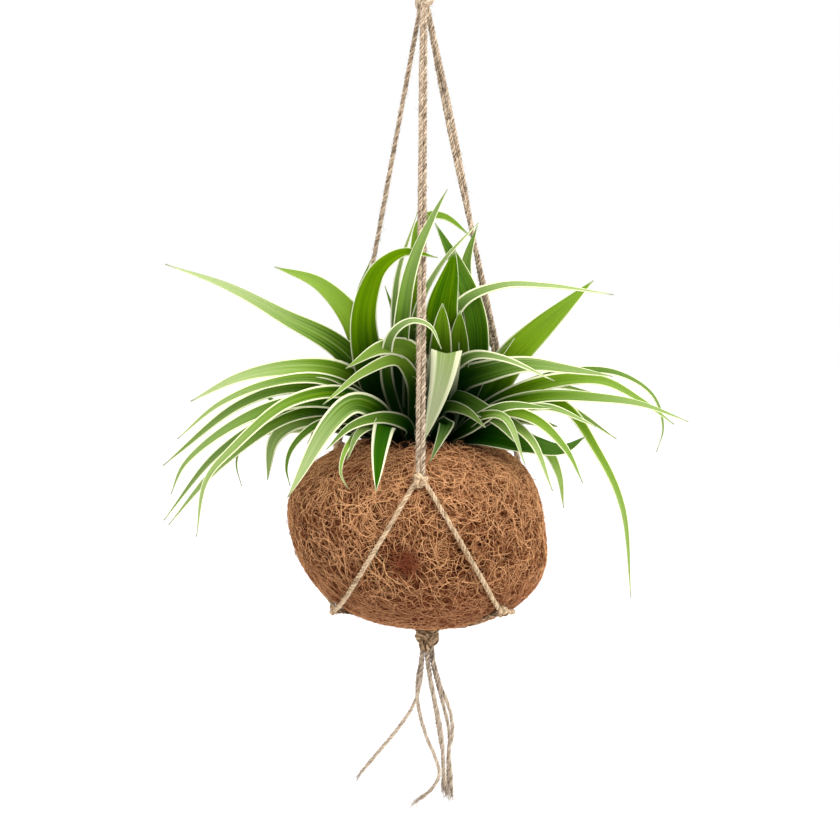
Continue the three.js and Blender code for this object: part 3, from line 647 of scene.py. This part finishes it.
def leaf_finish(plant):
    """Variegated blade: a streaked green middle between cream margins, paler towards its tip, partly with
    painted sheen, darker towards its base, partly with painted shade, and in painted shade near the crown.
    """
    finish = Finish("variegated_leaf", {"Roughness": 0.5, "Specular IOR Level": 0.02})
    uv = finish.node("ShaderNodeUVMap", {"uv_map": "blade"})
    across, along = finish.part(uv, 0), finish.part(uv, 1)
    own, bright, cream, wash = (finish.attribute(name) for name in ("own", "bright", "cream", "wash"))
    streak = finish.grain(finish.joined(across * 26.0, along * 1.6, own * 40.0), 1.0, 2.0, 0.6)
    broad = finish.grain(finish.joined(across * 5.0, along * 2.0, own * 23.0), 1.0, 1.0)
    edge = abs(across * 2.0 - 1.0)
    young = bright + (streak - 0.5) * 1.1 + (broad - 0.5) * 0.5
    green = finish.mix(young.between(-0.1, 1.1), plant.green, plant.bright)
    # Darker green towards the base: partly the blade's own colour, partly painted shade among the leaves.
    green = finish.mix((along + (broad - 0.5) * 0.3).between(0.08, 0.6), plant.deep, green)
    pale = finish.mix(bright * 0.4, plant.washed_and_sheen, plant.cream)
    # Paler towards the tip: partly the blade's own colour, partly painted sheen.
    green = finish.mix((along + (streak - 0.5) * 0.6).between(0.3, 0.95) * wash, green, pale)
    margin = (edge + (streak - 0.5) * 0.25).between(0.98 - cream, 1.06 - cream)
    line = (streak + edge * 0.1).between(0.7, 0.8) * wash * 0.5
    body = finish.mix(margin + line * (1.0 - margin), green, plant.cream)
    # Painted shade among the blades near the crown.
    body = finish.mix(finish.away(CROWN).between(0.078, 0.03) * 0.95, body, plant.shade)
    drying = (along + (streak - 0.5) * 0.05).between(0.955, 1.0)
    finish.feed("Base Color", finish.mix(drying, body, plant.tip))
    finish.relief(streak, 0.45, 0.0003)
    return finish.material


def soil_finish(plant):
    """Moist crumbs of potting soil."""
    finish = Finish("potting_soil", {"Roughness": 0.95, "Specular IOR Level": 0.1})
    crumb = finish.grain(finish.place(), 500.0, 4.0, 0.7)
    stops = [(at, [share * c for c in plant.soil]) for at, share in ((0.3, 0.35), (0.6, 1.0), (0.8, 2.2))]
    finish.feed("Base Color", finish.ramp(stops, crumb))
    finish.relief(crumb, 0.9, 0.001)
    return finish.material


def jute_of(twine, kind):
    """The twine's material in one part of the hanger, made once and then shared."""
    name = "jute_" + kind
    return bpy.data.materials.get(name) or jute_finish(name, twine, BLEACH[kind])


# ---- the ball's form ----


class Skin:
    """The ball's skin, in millimetres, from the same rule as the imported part."""

    def __init__(self, ball):
        self.radius = ball.radius / MM
        self.middle = ball.middle / MM
        self.up = ball.up / MM
        self.down = ball.down / MM
        self.mouth = ball.mouth / MM

    def sway(self, z):
        """How far a level is shifted to the side."""
        return SWAY * np.sin(np.pi * (SWAY_LEVEL - z) / SWAY_SPAN)

    def girth(self, latitude):
        """Radius of the level at a latitude."""
        c = np.maximum(np.cos(latitude), 0)
        return self.radius * np.where(latitude > 0, c, c**ROUND_RADIUS)

    def point(self, angle, latitude, lift):
        """The point above the skin by a lift."""
        s = np.abs(np.sin(latitude))
        radius = self.girth(latitude) + lift * np.maximum(np.cos(latitude), 0)
        height = np.where(latitude > 0, self.up * s**ROUND_UP, -self.down * s**ROUND_DOWN)
        z = self.middle + height + lift * np.sin(latitude)
        across = radius * np.cos(angle) + self.sway(z)
        return np.stack(np.broadcast_arrays(across, radius * np.sin(angle), z), axis=-1)

    def latitude(self, z):
        """Latitude of a level."""
        height = z - self.middle
        up = np.arcsin(np.clip(height / self.up, 0, 1) ** (1 / ROUND_UP))
        down = np.arcsin(np.clip(-height / self.down, 0, 1) ** (1 / ROUND_DOWN))
        return np.where(height > 0, up, -down)

    def underside(self, spot):
        """Height of the ball's underside below a spot."""
        z = self.middle - self.down
        for _ in range(4):
            radius = math.hypot(spot[0] - self.sway(z), spot[1])
            latitude = -math.acos(min(radius / self.radius, 1) ** (1 / ROUND_RADIUS))
            z = float(self.point(0.0, latitude, 0.0)[2])
        return z

    def inner_mouth(self):
        """Latitude at which the inside of the coir meets its opening."""
        return math.acos((self.mouth + 1) / (self.radius - COIR_WALL))

    def seen(self, eye, spot, lift):
        """The point of the skin that hides a spot inside the ball from the eye."""
        near, far = 0.7, 1.0  # shares of the way from the eye, outside the ball and inside it
        for _ in range(20):
            half = (near + far) / 2
            x, y, z = eye + (spot - eye) * half
            inside = math.hypot(x - self.sway(z), y) < self.girth(self.latitude(z)) + lift
            near, far = (near, half) if inside else (half, far)
        x, y, z = eye + (spot - eye) * far
        return self.point(math.atan2(y, x - self.sway(z)), self.latitude(z), lift)

    def lump(self, angle, latitude):
        """How far the mat is sunk in or bulged out."""
        broad = np.sin(3 * angle + 1.1) * np.cos(2 * latitude - 0.4)
        fine = np.sin(7 * angle - 0.6) * np.sin(5 * latitude + 0.8)
        return 0.7 * np.cos(latitude) * (0.6 * broad + 0.4 * fine - 1)

    def seats(self, spots, lift):
        """The middles of knots above the skin, from their bearings in degrees and their levels."""
        return {
            name: self.point(math.radians(degrees), self.latitude(level), lift)
            for name, (degrees, level) in spots.items()
        }


# ---- operators ----


class KOKEDAMA_OT_camera(bpy.types.Operator):
    """Place the camera in front of the plant, a little above it"""

    bl_idname = "kokedama.camera"
    bl_label = "Camera"

    def execute(self, context):
        data = bpy.data.cameras.new("camera")
        data.lens = context.scene.kokedama_stage.lens
        data.sensor_width = 36
        data.clip_end = 50
        camera = bpy.data.objects.new("camera", data)
        camera.location = Vector(CAMERA) * MM
        camera.rotation_euler = (math.radians(CAMERA_TILT), 0, 0)
        context.scene.collection.objects.link(camera)
        context.scene.camera = camera
        return {"FINISHED"}


def about(line, angle):
    """Directions away from a line, at an angle about it."""
    across, over = frames(line)
    return np.cos(angle)[:, None] * across + np.sin(angle)[:, None] * over


def hairs(rng, line, radius, count, size, lift):
    """Fine hairs that leave a strand at a slant, each with its radii and shades."""
    across, over = frames(line)
    along = headings(line)
    share = np.linspace(0, 1, 4)[:, None]
    thin = np.linspace(*HAIR, len(share)) * MM
    lines = []
    for _ in range(count):
        i = int(rng.integers(1, len(line) - 1))
        angle = rng.uniform(0, 2 * math.pi)
        out = math.cos(angle) * across[i] + math.sin(angle) * over[i]
        side = np.cross(along[i], out)
        way = along[i] * rng.choice((-1, 1)) + side * rng.normal(0, 0.5)
        reach = size * rng.uniform(0.5, 1.2)
        rise = radius * 0.85 + lift * rng.uniform(0.2, 1.0) * share**1.5
        bend = side * rng.normal(0, 0.25) * reach * share**2
        lines.append(line[i] + out * rise + unit(way) * reach * share + bend)
    return [(hair, thin, np.full(len(thin), rng.uniform(0.4, 1.0))) for hair in lines]


def strand(name, points, diameter, twine, seed, material, shade, frayed=0.0):
    """Plied twine along a route: its yarns wind round a dark core, painted shade in the grooves between
    them, and fine hairs stand off it.

    shade is its brightness, or one for each end. A frayed strand is thickest at its start and ends in
    loose fibres of that length, and its hairs are a piece of their own.
    """
    rng = np.random.default_rng(seed)
    line = curved(points)
    total = span(line)[-1]
    line = spaced(line, max(6, round(total / (twine.pitch / 10))))
    along = span(line)
    turn = 2 * math.pi * along / twine.pitch + rng.uniform(0, 6)
    share = along / total
    shade = np.interp(share, (0.0, 0.35), np.broadcast_to(shade, 2))
    slack = 1 + 0.06 * np.sin(along / 0.011 + seed)
    loosened = np.clip((share - LOOSE_FROM) / (1 - LOOSE_FROM), 0, 1) if frayed else 0.0
    neck = NECK * np.clip(1 - share / NECK_END, 0, 1) if frayed else 0.0
    girth = diameter * (1 + neck) * np.ones(len(line))
    # The dark core: painted shade seen in the grooves between the yarns.
    yarns = [(line, SHADE_CORE * girth, shade - 0.5)]
    for k in range(twine.plies):
        wind = about(line, turn + 2 * math.pi * k / twine.plies)
        offset = LAY * girth * slack * (1 + 0.7 * loosened**2)
        thickness = YARN * girth * (1 + 0.09 * np.sin(along / 0.0031 + 2.1 * k + seed))
        tone = shade + rng.uniform(-0.06, 0.06) + 0.14 * (k - 1)
        yarns.append((line + offset[:, None] * wind, thickness * (1 - 0.6 * loosened), tone))
    count = round(total / (HAIR_EVERY * MM))
    wisps = hairs(rng, line, diameter / 2, count, twine.hair, 1.1 * MM)
    if frayed:
        heading = unit(line[-1] - line[-6])
        out = np.linspace(-0.5, 1, 5)[:, None]
        spread = np.clip(out, 0, 1)
        for _ in range(round(frayed / (0.17 * MM))):
            way = heading + rng.normal(0, 0.33, 3) * spread + rng.normal(0, 0.2, 3) * spread**2
            start = line[-1] + rng.normal(0, 0.22, 3) * diameter
            tone = np.full(len(out), rng.uniform(0.3, 1.0))
            wisp = start + way * rng.uniform(0.55, 1.4) * frayed * out
            wisps.append((wisp, np.linspace(*WISP, len(out)) * MM, tone))
        loose = tubes(name + "_hairs", *zip(*wisps), 3, material, GRAIN)
        return tubes(name, *zip(*yarns), 6, material, GRAIN), line, loose
    return tubes(name, *zip(*yarns, *wisps), 6, material, GRAIN), line, None


class KOKEDAMA_OT_tassel(bpy.types.Operator):
    """Hang the six loose tails below the bottom knot"""

    bl_idname = "kokedama.tassel"
    bl_label = "Tassel"

    def execute(self, context):
        twine = context.scene.kokedama_twine
        jute = jute_of(twine, "tail")
        for i, (name, route) in enumerate(TAILS.items()):
            frayed = (LONG_FRAY if name == "tail_2" else FRAY) * MM
            # The tails start darker next to the bottom knot: painted shade where they are bundled together.
            obj, line, loose = strand(
                name + "_twine", np.array(route) * MM, twine.tail, twine, 40 + i, jute, (0.25, 0.6), frayed
            )
            shown(obj, "jute", name)
            shown(loose, "jute")
        return {"FINISHED"}


def loop_route(y):
    """The route of one cord of the hanging loop."""
    side = LOOP_HALF_WIDTH
    knot, _, level = TOP_KNOT
    rise = ((7.6, level + 19), (side, -side - 3), (0.72 * side, -2.3))
    up = [(-x, y, z) for x, z in rise]
    down = [(x, y, z) for x, z in reversed(rise)]
    return [(knot - 2.5, y, level + 4), *up, (0, y, 1.35), *down, (knot + 2.5, y, level + 4)]


def beside_gather(low):
    """Half a strand's spacing, level, across the way that strands gather from a low knot."""
    ahead, left = unit((BOTTOM_KNOT - low)[:2])
    return np.array((-left, ahead, 0)) * PAIR / 2


class KOKEDAMA_OT_hanger(bpy.types.Operator):
    """Run the twine of the loop, the legs, the net and the gathered strands"""

    bl_idname = "kokedama.hanger"
    bl_label = "Hanger"

    def execute(self, context):
        scene = context.scene
        twine = scene.kokedama_twine
        skin = Skin(scene.kokedama_ball)
        routes = {f"loop_strand_{i + 1}": loop_route((i - 1) * PAIR) for i in range(3)}
        side_knots = skin.seats(SIDE_KNOTS, SIDE_LIFT)
        low_knots = skin.seats(LOW_KNOTS, LOW_LIFT)
        # Each leg: where it begins below the top knot, the bearing of its strands there and their twist.
        legs = {
            "front": ((0, -PAIR, -2), 50, -50),
            "left": ((-PAIR / 2, PAIR / 2, -2), 90, 0),
            "right": ((PAIR / 2, PAIR / 2, -2), 90, 360),
        }
        for name, (start, across, twist) in legs.items():
            for letter, sign in STRANDS_OF_TWO:
                share = np.linspace(0, 1, max(6, abs(twist) // 26 + 2))[:, None]
                turn = np.radians(across + twist * share)
                offset = np.hstack([np.cos(turn), np.sin(turn), 0 * turn]) * sign * TIGHT * PAIR / 2
                begin = TOP_KNOT + start
                routes[f"leg_{name}_strand_{letter}"] = begin + (side_knots[name] - begin) * share + offset
        for side, low, bow, dip in NET:
            facing = math.radians(SIDE_KNOTS[side][0])
            begin, end = side_knots[side], low_knots[low]
            across = beside_gather(end)
            end = end + across * np.sign((begin - end).dot(across))
            ahead = np.array((math.cos(facing), math.sin(facing), 0))
            sideways = np.array((-ahead[1], ahead[0], 0))
            begin = begin + sideways * math.copysign(PAIR / 2, (end - begin).dot(sideways))
            eye = ahead * EYE_REACH + (0, 0, EYE_LEVEL)
            share = np.linspace(0, 1, 11)[1:-1, None]
            chord = begin + (end - begin) * np.hstack([share**bow, share**bow, 1 - (1 - share) ** bow])
            chord[:, 2] -= dip * np.sin(math.pi * share[:, 0] ** 1.5)
            run = [skin.seen(eye, spot, NET_LIFT) for spot in chord]
            routes[f"net_{side}_to_{low}"] = np.vstack([begin, run, end])
        for name, begin in low_knots.items():
            for letter, sign in STRANDS_OF_TWO:
                beside = beside_gather(begin) * sign
                run = [begin + beside]
                for share in np.linspace(0, 1, 6)[1:-1]:
                    spot = begin + (BOTTOM_KNOT - begin) * share + beside
                    spot[2] = skin.underside(spot) + GATHER_SINK
                    run.append(spot)
                routes[f"gather_{name}_strand_{letter}"] = [*run, BOTTOM_KNOT + beside]
        for i, (name, route) in enumerate(routes.items()):
            points = np.array(route, float) * MM
            kind, shade = STRANDS[name.split("_")[0]]
            obj, *_ = strand(
                name + "_twine", points, twine.diameter, twine, 100 + i, jute_of(twine, kind), shade
            )
            shown(obj, "jute", name)
        return {"FINISHED"}


def knot(name, centre, size, yarns, seed, twine, material, shade, lean):
    """A knot drawn tight: a bundle of yarns along the path of an overhand knot."""
    rng = np.random.default_rng(seed)
    half = np.array(size) / 2
    bundle = 0.4 * min(half)  # radius of the bundle
    t = np.linspace(0, 2 * math.pi, 73)
    lobes = np.stack([
        (np.sin(t) + 2 * np.sin(2 * t)) / 2.8,
        -np.sin(3 * t) * 0.8,
        (np.cos(t) - 2 * np.cos(2 * t)) / 2.8,
    ], axis=1)
    lobes = lobes @ np.array(Matrix.Rotation(lean, 3, "Y")).T
    line = (np.array(centre) + lobes * (half - bundle)) * MM
    share = np.linspace(0, 1, len(line))
    wound = []
    for k in range(yarns):
        wind = about(line, 2 * math.pi * (k / yarns + 2 * share) + seed)
        tone = np.full(len(line), shade + rng.uniform(-0.22, 0.22))
        wound.append((line + 0.52 * bundle * MM * wind, np.full(len(line), 0.56 * bundle * MM), tone))
    wound += hairs(rng, line, bundle * MM, 60, twine.hair, 0.9 * MM)
    return tubes(name, *zip(*wound), 8, material, GRAIN)


class KOKEDAMA_OT_knots(bpy.types.Operator):
    """Tie the top, side, low and bottom knots"""

    bl_idname = "kokedama.knots"
    bl_label = "Knots"

    def execute(self, context):
        scene = context.scene
        twine = scene.kokedama_twine
        skin = Skin(scene.kokedama_ball)
        # Each knot: its middle, size, number of yarns, material, brightness and lean.
        rows = [
            ("top_knot", TOP_KNOT, (12, 12.5, 15), 5, "leg", 0.55, 0.4),
            ("bottom_knot", BOTTOM_KNOT, (14.5, 13, 14.4), 5, "net", 0.47, 0.0),
        ]
        for name, seat in skin.seats(SIDE_KNOTS, SIDE_LIFT).items():
            rows.append((f"side_knot_{name}", seat, (8.6, 7.4, 9), 3, "net", 0.85, 0.3))
        for name, seat in skin.seats(LOW_KNOTS, LOW_SEAT).items():
            rows.append((f"low_knot_{name}", seat, (6.4, 6.4, 7.4), 3, "net", 0.65, 0.6))
        for i, (name, centre, size, yarns, kind, shade, lean) in enumerate(rows):
            jute = jute_of(twine, kind)
            obj = knot(name + "_tied", centre, size, yarns, 70 + i, twine, jute, shade, lean)
            shown(obj, "jute", name)
        return {"FINISHED"}


def lathed(profile, steps):
    """A closed bmesh turned about the upright axis from a profile in millimetres."""
    bm = bmesh.new()
    verts = [bm.verts.new(p * MM) for p in profile]
    edges = [bm.edges.new(pair) for pair in zip(verts[:-1], verts[1:])]
    bmesh.ops.spin(
        bm, geom=verts + edges, cent=(0, 0, 0), axis=(0, 0, 1), angle=2 * math.pi, steps=steps,
        use_merge=True,
    )
    bmesh.ops.remove_doubles(bm, verts=bm.verts[:], dist=1e-6)
    bmesh.ops.recalc_face_normals(bm, faces=bm.faces[:])
    return bm


def scattered(skin, rng, count):
    """Angles and latitudes spread evenly over the ball's skin below its mouth."""
    top = math.acos((skin.mouth + MOUTH_LIP * 0.4) / skin.radius)
    table = np.linspace(-math.pi / 2, top, 400)
    edge = skin.point(0.0, table, 0.0)
    step = np.linalg.norm(np.diff(edge, axis=0), axis=1)
    area = np.concatenate([[0], np.cumsum(step * (skin.girth(table)[1:] + skin.girth(table)[:-1]) / 2)])
    latitude = np.interp(rng.uniform(0, area[-1], count), area, table)
    return rng.uniform(0, 2 * math.pi, count), latitude


class KOKEDAMA_OT_ball(bpy.types.Operator):
    """Form the coconut fibre wrap and lay its fibres"""

    bl_idname = "kokedama.ball"
    bl_label = "Coir ball"

    def execute(self, context):
        ball = context.scene.kokedama_ball
        skin = Skin(ball)
        self.wrap(skin, ball)
        self.fibres(skin, ball)
        return {"FINISHED"}

    def wrap(self, skin, ball):
        """The felted mat, lathed to the ball's outline and roughened, and sunk to hold the fibres."""
        mouth = math.acos((skin.mouth + MOUTH_LIP) / skin.radius)
        outer = skin.point(0.0, np.linspace(-math.pi / 2, mouth, 90), 0.0)
        inner = skin.point(0.0, np.linspace(skin.inner_mouth(), -math.pi / 2, 20), -COIR_WALL)
        profile = np.vstack([outer, (skin.mouth, 0, outer[-1][2] + RIM_RISE), inner])
        profile[:, 0] -= skin.sway(profile[:, 2])
        profile[[0, -1], 0] = 0
        profile[-len(inner), 0] = skin.mouth + 1
        bm = lathed(profile, 180)
        for vert in bm.verts:
            x, y, z = (c / MM for c in vert.co)
            radius = math.hypot(x, y)
            latitude = float(skin.latitude(z))
            angle = math.atan2(y, x)
            depth = min(max((float(skin.girth(latitude)) - radius) / COIR_WALL, 0), 1)
            place = Vector((x, y, z))
            rough = 0.9 * noise.noise(place / 5) + 0.5 * noise.noise(place / 1.9)
            if radius > 1:
                grown = radius + (1 - depth) * (float(skin.lump(angle, latitude)) + rough - MAT_SINK)
                x *= grown / radius
                y *= grown / radius
            elif depth < 0.5:
                z += rough
            vert.co = Vector((x + float(skin.sway(z)), y, z)) * MM
        obj = piece_of(bm, "coir_mat", coir_finish("coir_mat", ball, True))
        shown(obj, "coir", "coir_wrap")

    def fibres(self, skin, ball):
        """Curled fibres that weave over and under each other in the mat."""
        coir = coir_finish("coir_fibre", ball, False)
        rng = np.random.default_rng(11)
        girths = np.array([0.6, 1, 1, 1, 1, 0.8, 0.4])  # share of its thickness at a fibre's points
        points = len(girths)
        top = 1.18  # latitude that no fibre passes, so that the mouth stays open
        table = np.linspace(-math.pi / 2, math.pi / 2, 721)
        edge = skin.point(0.0, table, 0.0)
        slope = np.gradient(span(edge), table)
        made = 0
        while made < ball.fibres:
            count = min(FIBRES_IN_PIECE, ball.fibres - made)
            angle, latitude = scattered(skin, rng, count)
            heading = rng.uniform(0, 2 * math.pi, count)
            curl = rng.normal(0, 0.13, count)
            reach = ball.reach / MM * rng.uniform(0.35, 1.3, count)
            step = reach / (points - 1)
            phase = rng.uniform(0, 6.3, count)
            layer = rng.uniform(0, 1, count)
            loose = np.where(rng.uniform(0, 1, count) < 0.04, rng.uniform(0.8, 2.6, count), 0)
            spots = []
            for k in range(points):
                share = k / (points - 1)
                weave = 0.45 * np.sin(phase + 2.6 * k)
                lift = -2.6 + 3.0 * layer + weave + loose * share**2
                spots.append(skin.point(angle, latitude, lift + skin.lump(angle, latitude)))
                heading = heading + (curl + 0.08 * np.sin(phase * 3 + 1.7 * k)) * step
                girth = np.maximum(skin.girth(latitude), 4)
                angle = angle + step * np.cos(heading) / girth
                climb = step * np.sin(heading) / np.maximum(np.interp(latitude, table, slope), 8)
                latitude = latitude + climb
                over = latitude < -math.pi / 2
                latitude = np.where(over, -math.pi - latitude, latitude)
                angle = np.where(over, angle + math.pi, angle)
                heading = np.where(over, -heading, heading)
                latitude = np.minimum(latitude, top)
            lines = np.stack(spots, axis=1) * MM
            thick = ball.fibre / 2 * rng.uniform(0.45, 1.15, count)
            radii = thick[:, None] * girths
            # Fibres that lie deeper in the mat are darker: painted shade.
            tone = np.clip(rng.normal(0.36, 0.2, count) + 0.9 * (layer - 0.5), 0, 1)
            tones = np.repeat(tone[:, None], points, axis=1)
            name = f"coir_fibres_{made // FIBRES_IN_PIECE + 1}"
            shown(tubes(name, lines, radii, tones, 3, coir), "coir")
            made += count


class KOKEDAMA_OT_soil(bpy.types.Operator):
    """Fill the ball with crumbly potting soil"""

    bl_idname = "kokedama.soil"
    bl_label = "Soil"

    def execute(self, context):
        scene = context.scene
        skin = Skin(scene.kokedama_ball)
        gap = 0.3  # between the coir and the soil
        side = skin.point(0.0, np.linspace(-math.pi / 2, skin.inner_mouth(), 24), -COIR_WALL - gap)
        side[:, 0] -= skin.sway(side[:, 2])
        side[0, 0] = 0
        top_radius = np.linspace(skin.mouth - 1, 0, 26)
        dish = CROWN_LEVEL - 1.5 - 3 * (top_radius / 36) ** 2
        top = np.stack([top_radius, 0 * top_radius, dish], axis=1)
        bm = lathed(np.vstack([side, top]), 90)
        for vert in bm.verts:
            place = vert.co / MM
            if place.z > CROWN_LEVEL - 8:
                vert.co.z += (1.6 * noise.noise(place / 3.5) + 0.8 * noise.noise(place / 1.4)) * MM
            vert.co.x += float(skin.sway(place.z)) * MM
        obj = piece_of(bm, "potting_soil", soil_finish(scene.kokedama_plant))
        shown(obj, "soil", "soil_ball")
        return {"FINISHED"}


def back_leaves():
    """The leaves behind, fanned out between the two rear legs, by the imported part's own draws."""
    state, limit = 7.0, 2147483648.0

    def draw():
        nonlocal state
        state = (state * 1103515245.0 + 12345.0) % limit
        return state / limit

    taper, turns = 2.4, (-10, 0)
    rows = []
    for i in range(BACK_LEAVES):
        angle = math.radians(48 + 84 * i / (BACK_LEAVES - 1) + 5 * (draw() - 0.5))
        tier = (i * 2) % 5
        reach = 78 + 9 * tier + 14 * draw()
        rise = 58 - 9 * tier + 8 * draw()
        drop = 8 + 9 * tier + 20 * draw()
        width = 9 + 5 * draw()
        route = [[14.4 * math.cos(angle), 7 + 7 * math.sin(angle), 0]]
        for share, height in ((0.3, 0.75 * rise), (0.62, rise), (1, rise - drop)):
            route.append([reach * share * math.cos(angle), 8 + reach * share * math.sin(angle), height])
        rows.append([width, taper, *turns, *route])
    return rows


class KOKEDAMA_OT_plant(bpy.types.Operator):
    """Grow the spider plant's leaves from its crown"""

    bl_idname = "kokedama.plant"
    bl_label = "Spider plant"

    def execute(self, context):
        plant = context.scene.kokedama_plant
        leaf = leaf_finish(plant)
        groups = {**LEAVES, "back": back_leaves()}
        for k, (name, rows) in enumerate(groups.items()):
            rng = np.random.default_rng(200 + k)
            bm = bmesh.new()
            uv = bm.loops.layers.uv.new("blade")
            layers = [bm.verts.layers.float.new(layer) for layer in ("own", "bright", "cream", "wash")]
            for i, row in enumerate(rows):
                usual = [rng.uniform(*limits) for limits in USUAL.get(name, USUAL_BELOW)]
                look = (rng.uniform(0, 1), *LOOKS.get(name, {}).get(i, usual))
                verts = self.blade(bm, uv, row, plant, rng)
                for layer, value in zip(layers, look):
                    for vert in verts:
                        vert[layer] = value
            bmesh.ops.solidify(bm, geom=bm.faces[:], thickness=plant.thick)
            shown(piece_of(bm, f"leaves_{name}", leaf), "leaf", "spider_plant")
        return {"FINISHED"}

    def blade(self, bm, uv, row, plant, rng):
        """One channelled blade along its midrib, with a wave along its margins."""
        width, taper, turn_base, turn_tip, *route = row
        dense = curved((np.array(route, float) + (0, 0, CROWN_LEVEL)) * MM)
        total = span(dense)[-1]
        count = max(10, round(total / plant.step))
        line = spaced(dense, count)
        along = headings(line)
        share = np.linspace(0, 1, count + 1)
        turn = np.radians(turn_base + (turn_tip - turn_base) * share)
        up = np.stack([0 * turn, -np.sin(turn), np.cos(turn)], axis=1)
        up = unit(up - along * (up * along).sum(1, keepdims=True))
        side = np.cross(along, up)
        base = 0.4 + 0.6 * np.sin(np.minimum(share / 0.4, 1) * math.pi / 2)
        half = np.maximum(width / 2 * base * (1 - share**taper), BLADE_LEAST) * MM
        fold = half * (0.45 - 0.25 * share)
        wave = rng.uniform(0.03, 0.12) * np.sin(share * total / MM / rng.uniform(9, 16) + rng.uniform(0, 6))
        made = bmesh.ops.create_grid(
            bm, x_segments=plant.across, y_segments=count, size=1, calc_uvs=False
        )["verts"]
        for vert in made:
            a, s = vert.co.x, (vert.co.y + 1) / 2
            i = round(s * count)
            lift = fold[i] * (math.sqrt(a * a + 0.03) - 0.5) + half[i] * wave[i] * a * abs(a)
            vert.co = line[i] + side[i] * half[i] * a + up[i] * lift
            for loop in vert.link_loops:
                loop[uv].uv = ((a + 1) / 2, s)
        return made


class KOKEDAMA_OT_stage(bpy.types.Operator):
    """Set the pale floor, which glows more away from the plant as painted light, the white surroundings and
    the studio light
    """

    bl_idname = "kokedama.stage"
    bl_label = "Stage"

    def execute(self, context):
        scene = context.scene
        stage = scene.kokedama_stage
        bm = bmesh.new()
        bmesh.ops.create_circle(bm, cap_ends=True, radius=FLOOR_RADIUS, segments=64)
        bmesh.ops.translate(bm, verts=bm.verts[:], vec=(0, 0, stage.floor))
        constants = {"Roughness": 0.9, "Base Color": stage.pale, "Emission Strength": 1.0}
        finish = Finish("pale_floor", constants)
        # The floor glows more the farther it is from the ball: painted light that whitens the far floor
        # into the white surroundings.
        far = finish.away((0, 0, 0), (1, 1, 0)).between(0.2, 0.9)
        glow = finish.mix(far, (0, 0, 0), (0.3, 0.3, 0.3))
        finish.feed("Emission Color", glow)
        floor = piece_of(bm, "floor", finish.material)
        world = bpy.data.worlds.new("studio")
        world.use_nodes = True
        sky = world.node_tree.nodes["Background"]
        sky.inputs["Color"].default_value = (1, 1, 1, 1)
        sky.inputs["Strength"].default_value = stage.sky
        scene.world = world
        for name, (place, size, power) in LAMPS.items():
            data = bpy.data.lights.new(name, "AREA")
            data.size = size
            data.energy = stage.key * power
            lamp = bpy.data.objects.new(name, data)
            lamp.location = place
            lamp.rotation_euler = (LIT - Vector(place)).to_track_quat("-Z", "Y").to_euler()
            scene.collection.objects.link(lamp)
        scene.view_settings.view_transform = "Standard"
        return {"FINISHED"}


class KOKEDAMA_PT_panel(bpy.types.Panel):
    """The kokedama's pieces, in the order of their making"""

    bl_idname = "KOKEDAMA_PT_panel"
    bl_label = "Kokedama"
    bl_space_type = "VIEW_3D"
    bl_region_type = "UI"
    bl_category = "Kokedama"

    def draw(self, context):
        for maker in OPERATORS:
            self.layout.operator(maker.bl_idname)
        for settings in SETTINGS:
            box = self.layout.box()
            group = getattr(context.scene, settings)
            for name in type(group).__annotations__:
                box.prop(group, name)


OPERATORS = (
    KOKEDAMA_OT_camera,
    KOKEDAMA_OT_tassel,
    KOKEDAMA_OT_hanger,
    KOKEDAMA_OT_knots,
    KOKEDAMA_OT_ball,
    KOKEDAMA_OT_soil,
    KOKEDAMA_OT_plant,
    KOKEDAMA_OT_stage,
)
SETTINGS = {
    "kokedama_twine": KokedamaTwine,
    "kokedama_ball": KokedamaBall,
    "kokedama_plant": KokedamaPlant,
    "kokedama_stage": KokedamaStage,
}


def register():
    for group in SETTINGS.values():
        bpy.utils.register_class(group)
    for name, group in SETTINGS.items():
        setattr(bpy.types.Scene, name, PointerProperty(type=group))
    for maker in (*OPERATORS, KOKEDAMA_PT_panel):
        bpy.utils.register_class(maker)


def unregister():
    for maker in reversed((*OPERATORS, KOKEDAMA_PT_panel)):
        bpy.utils.unregister_class(maker)
    for name, group in SETTINGS.items():
        delattr(bpy.types.Scene, name)
        bpy.utils.unregister_class(group)


def main():
    register()
    for maker in OPERATORS:
        getattr(bpy.ops.kokedama, maker.bl_idname.split(".")[1])()


if __name__ == "__main__":
    main()
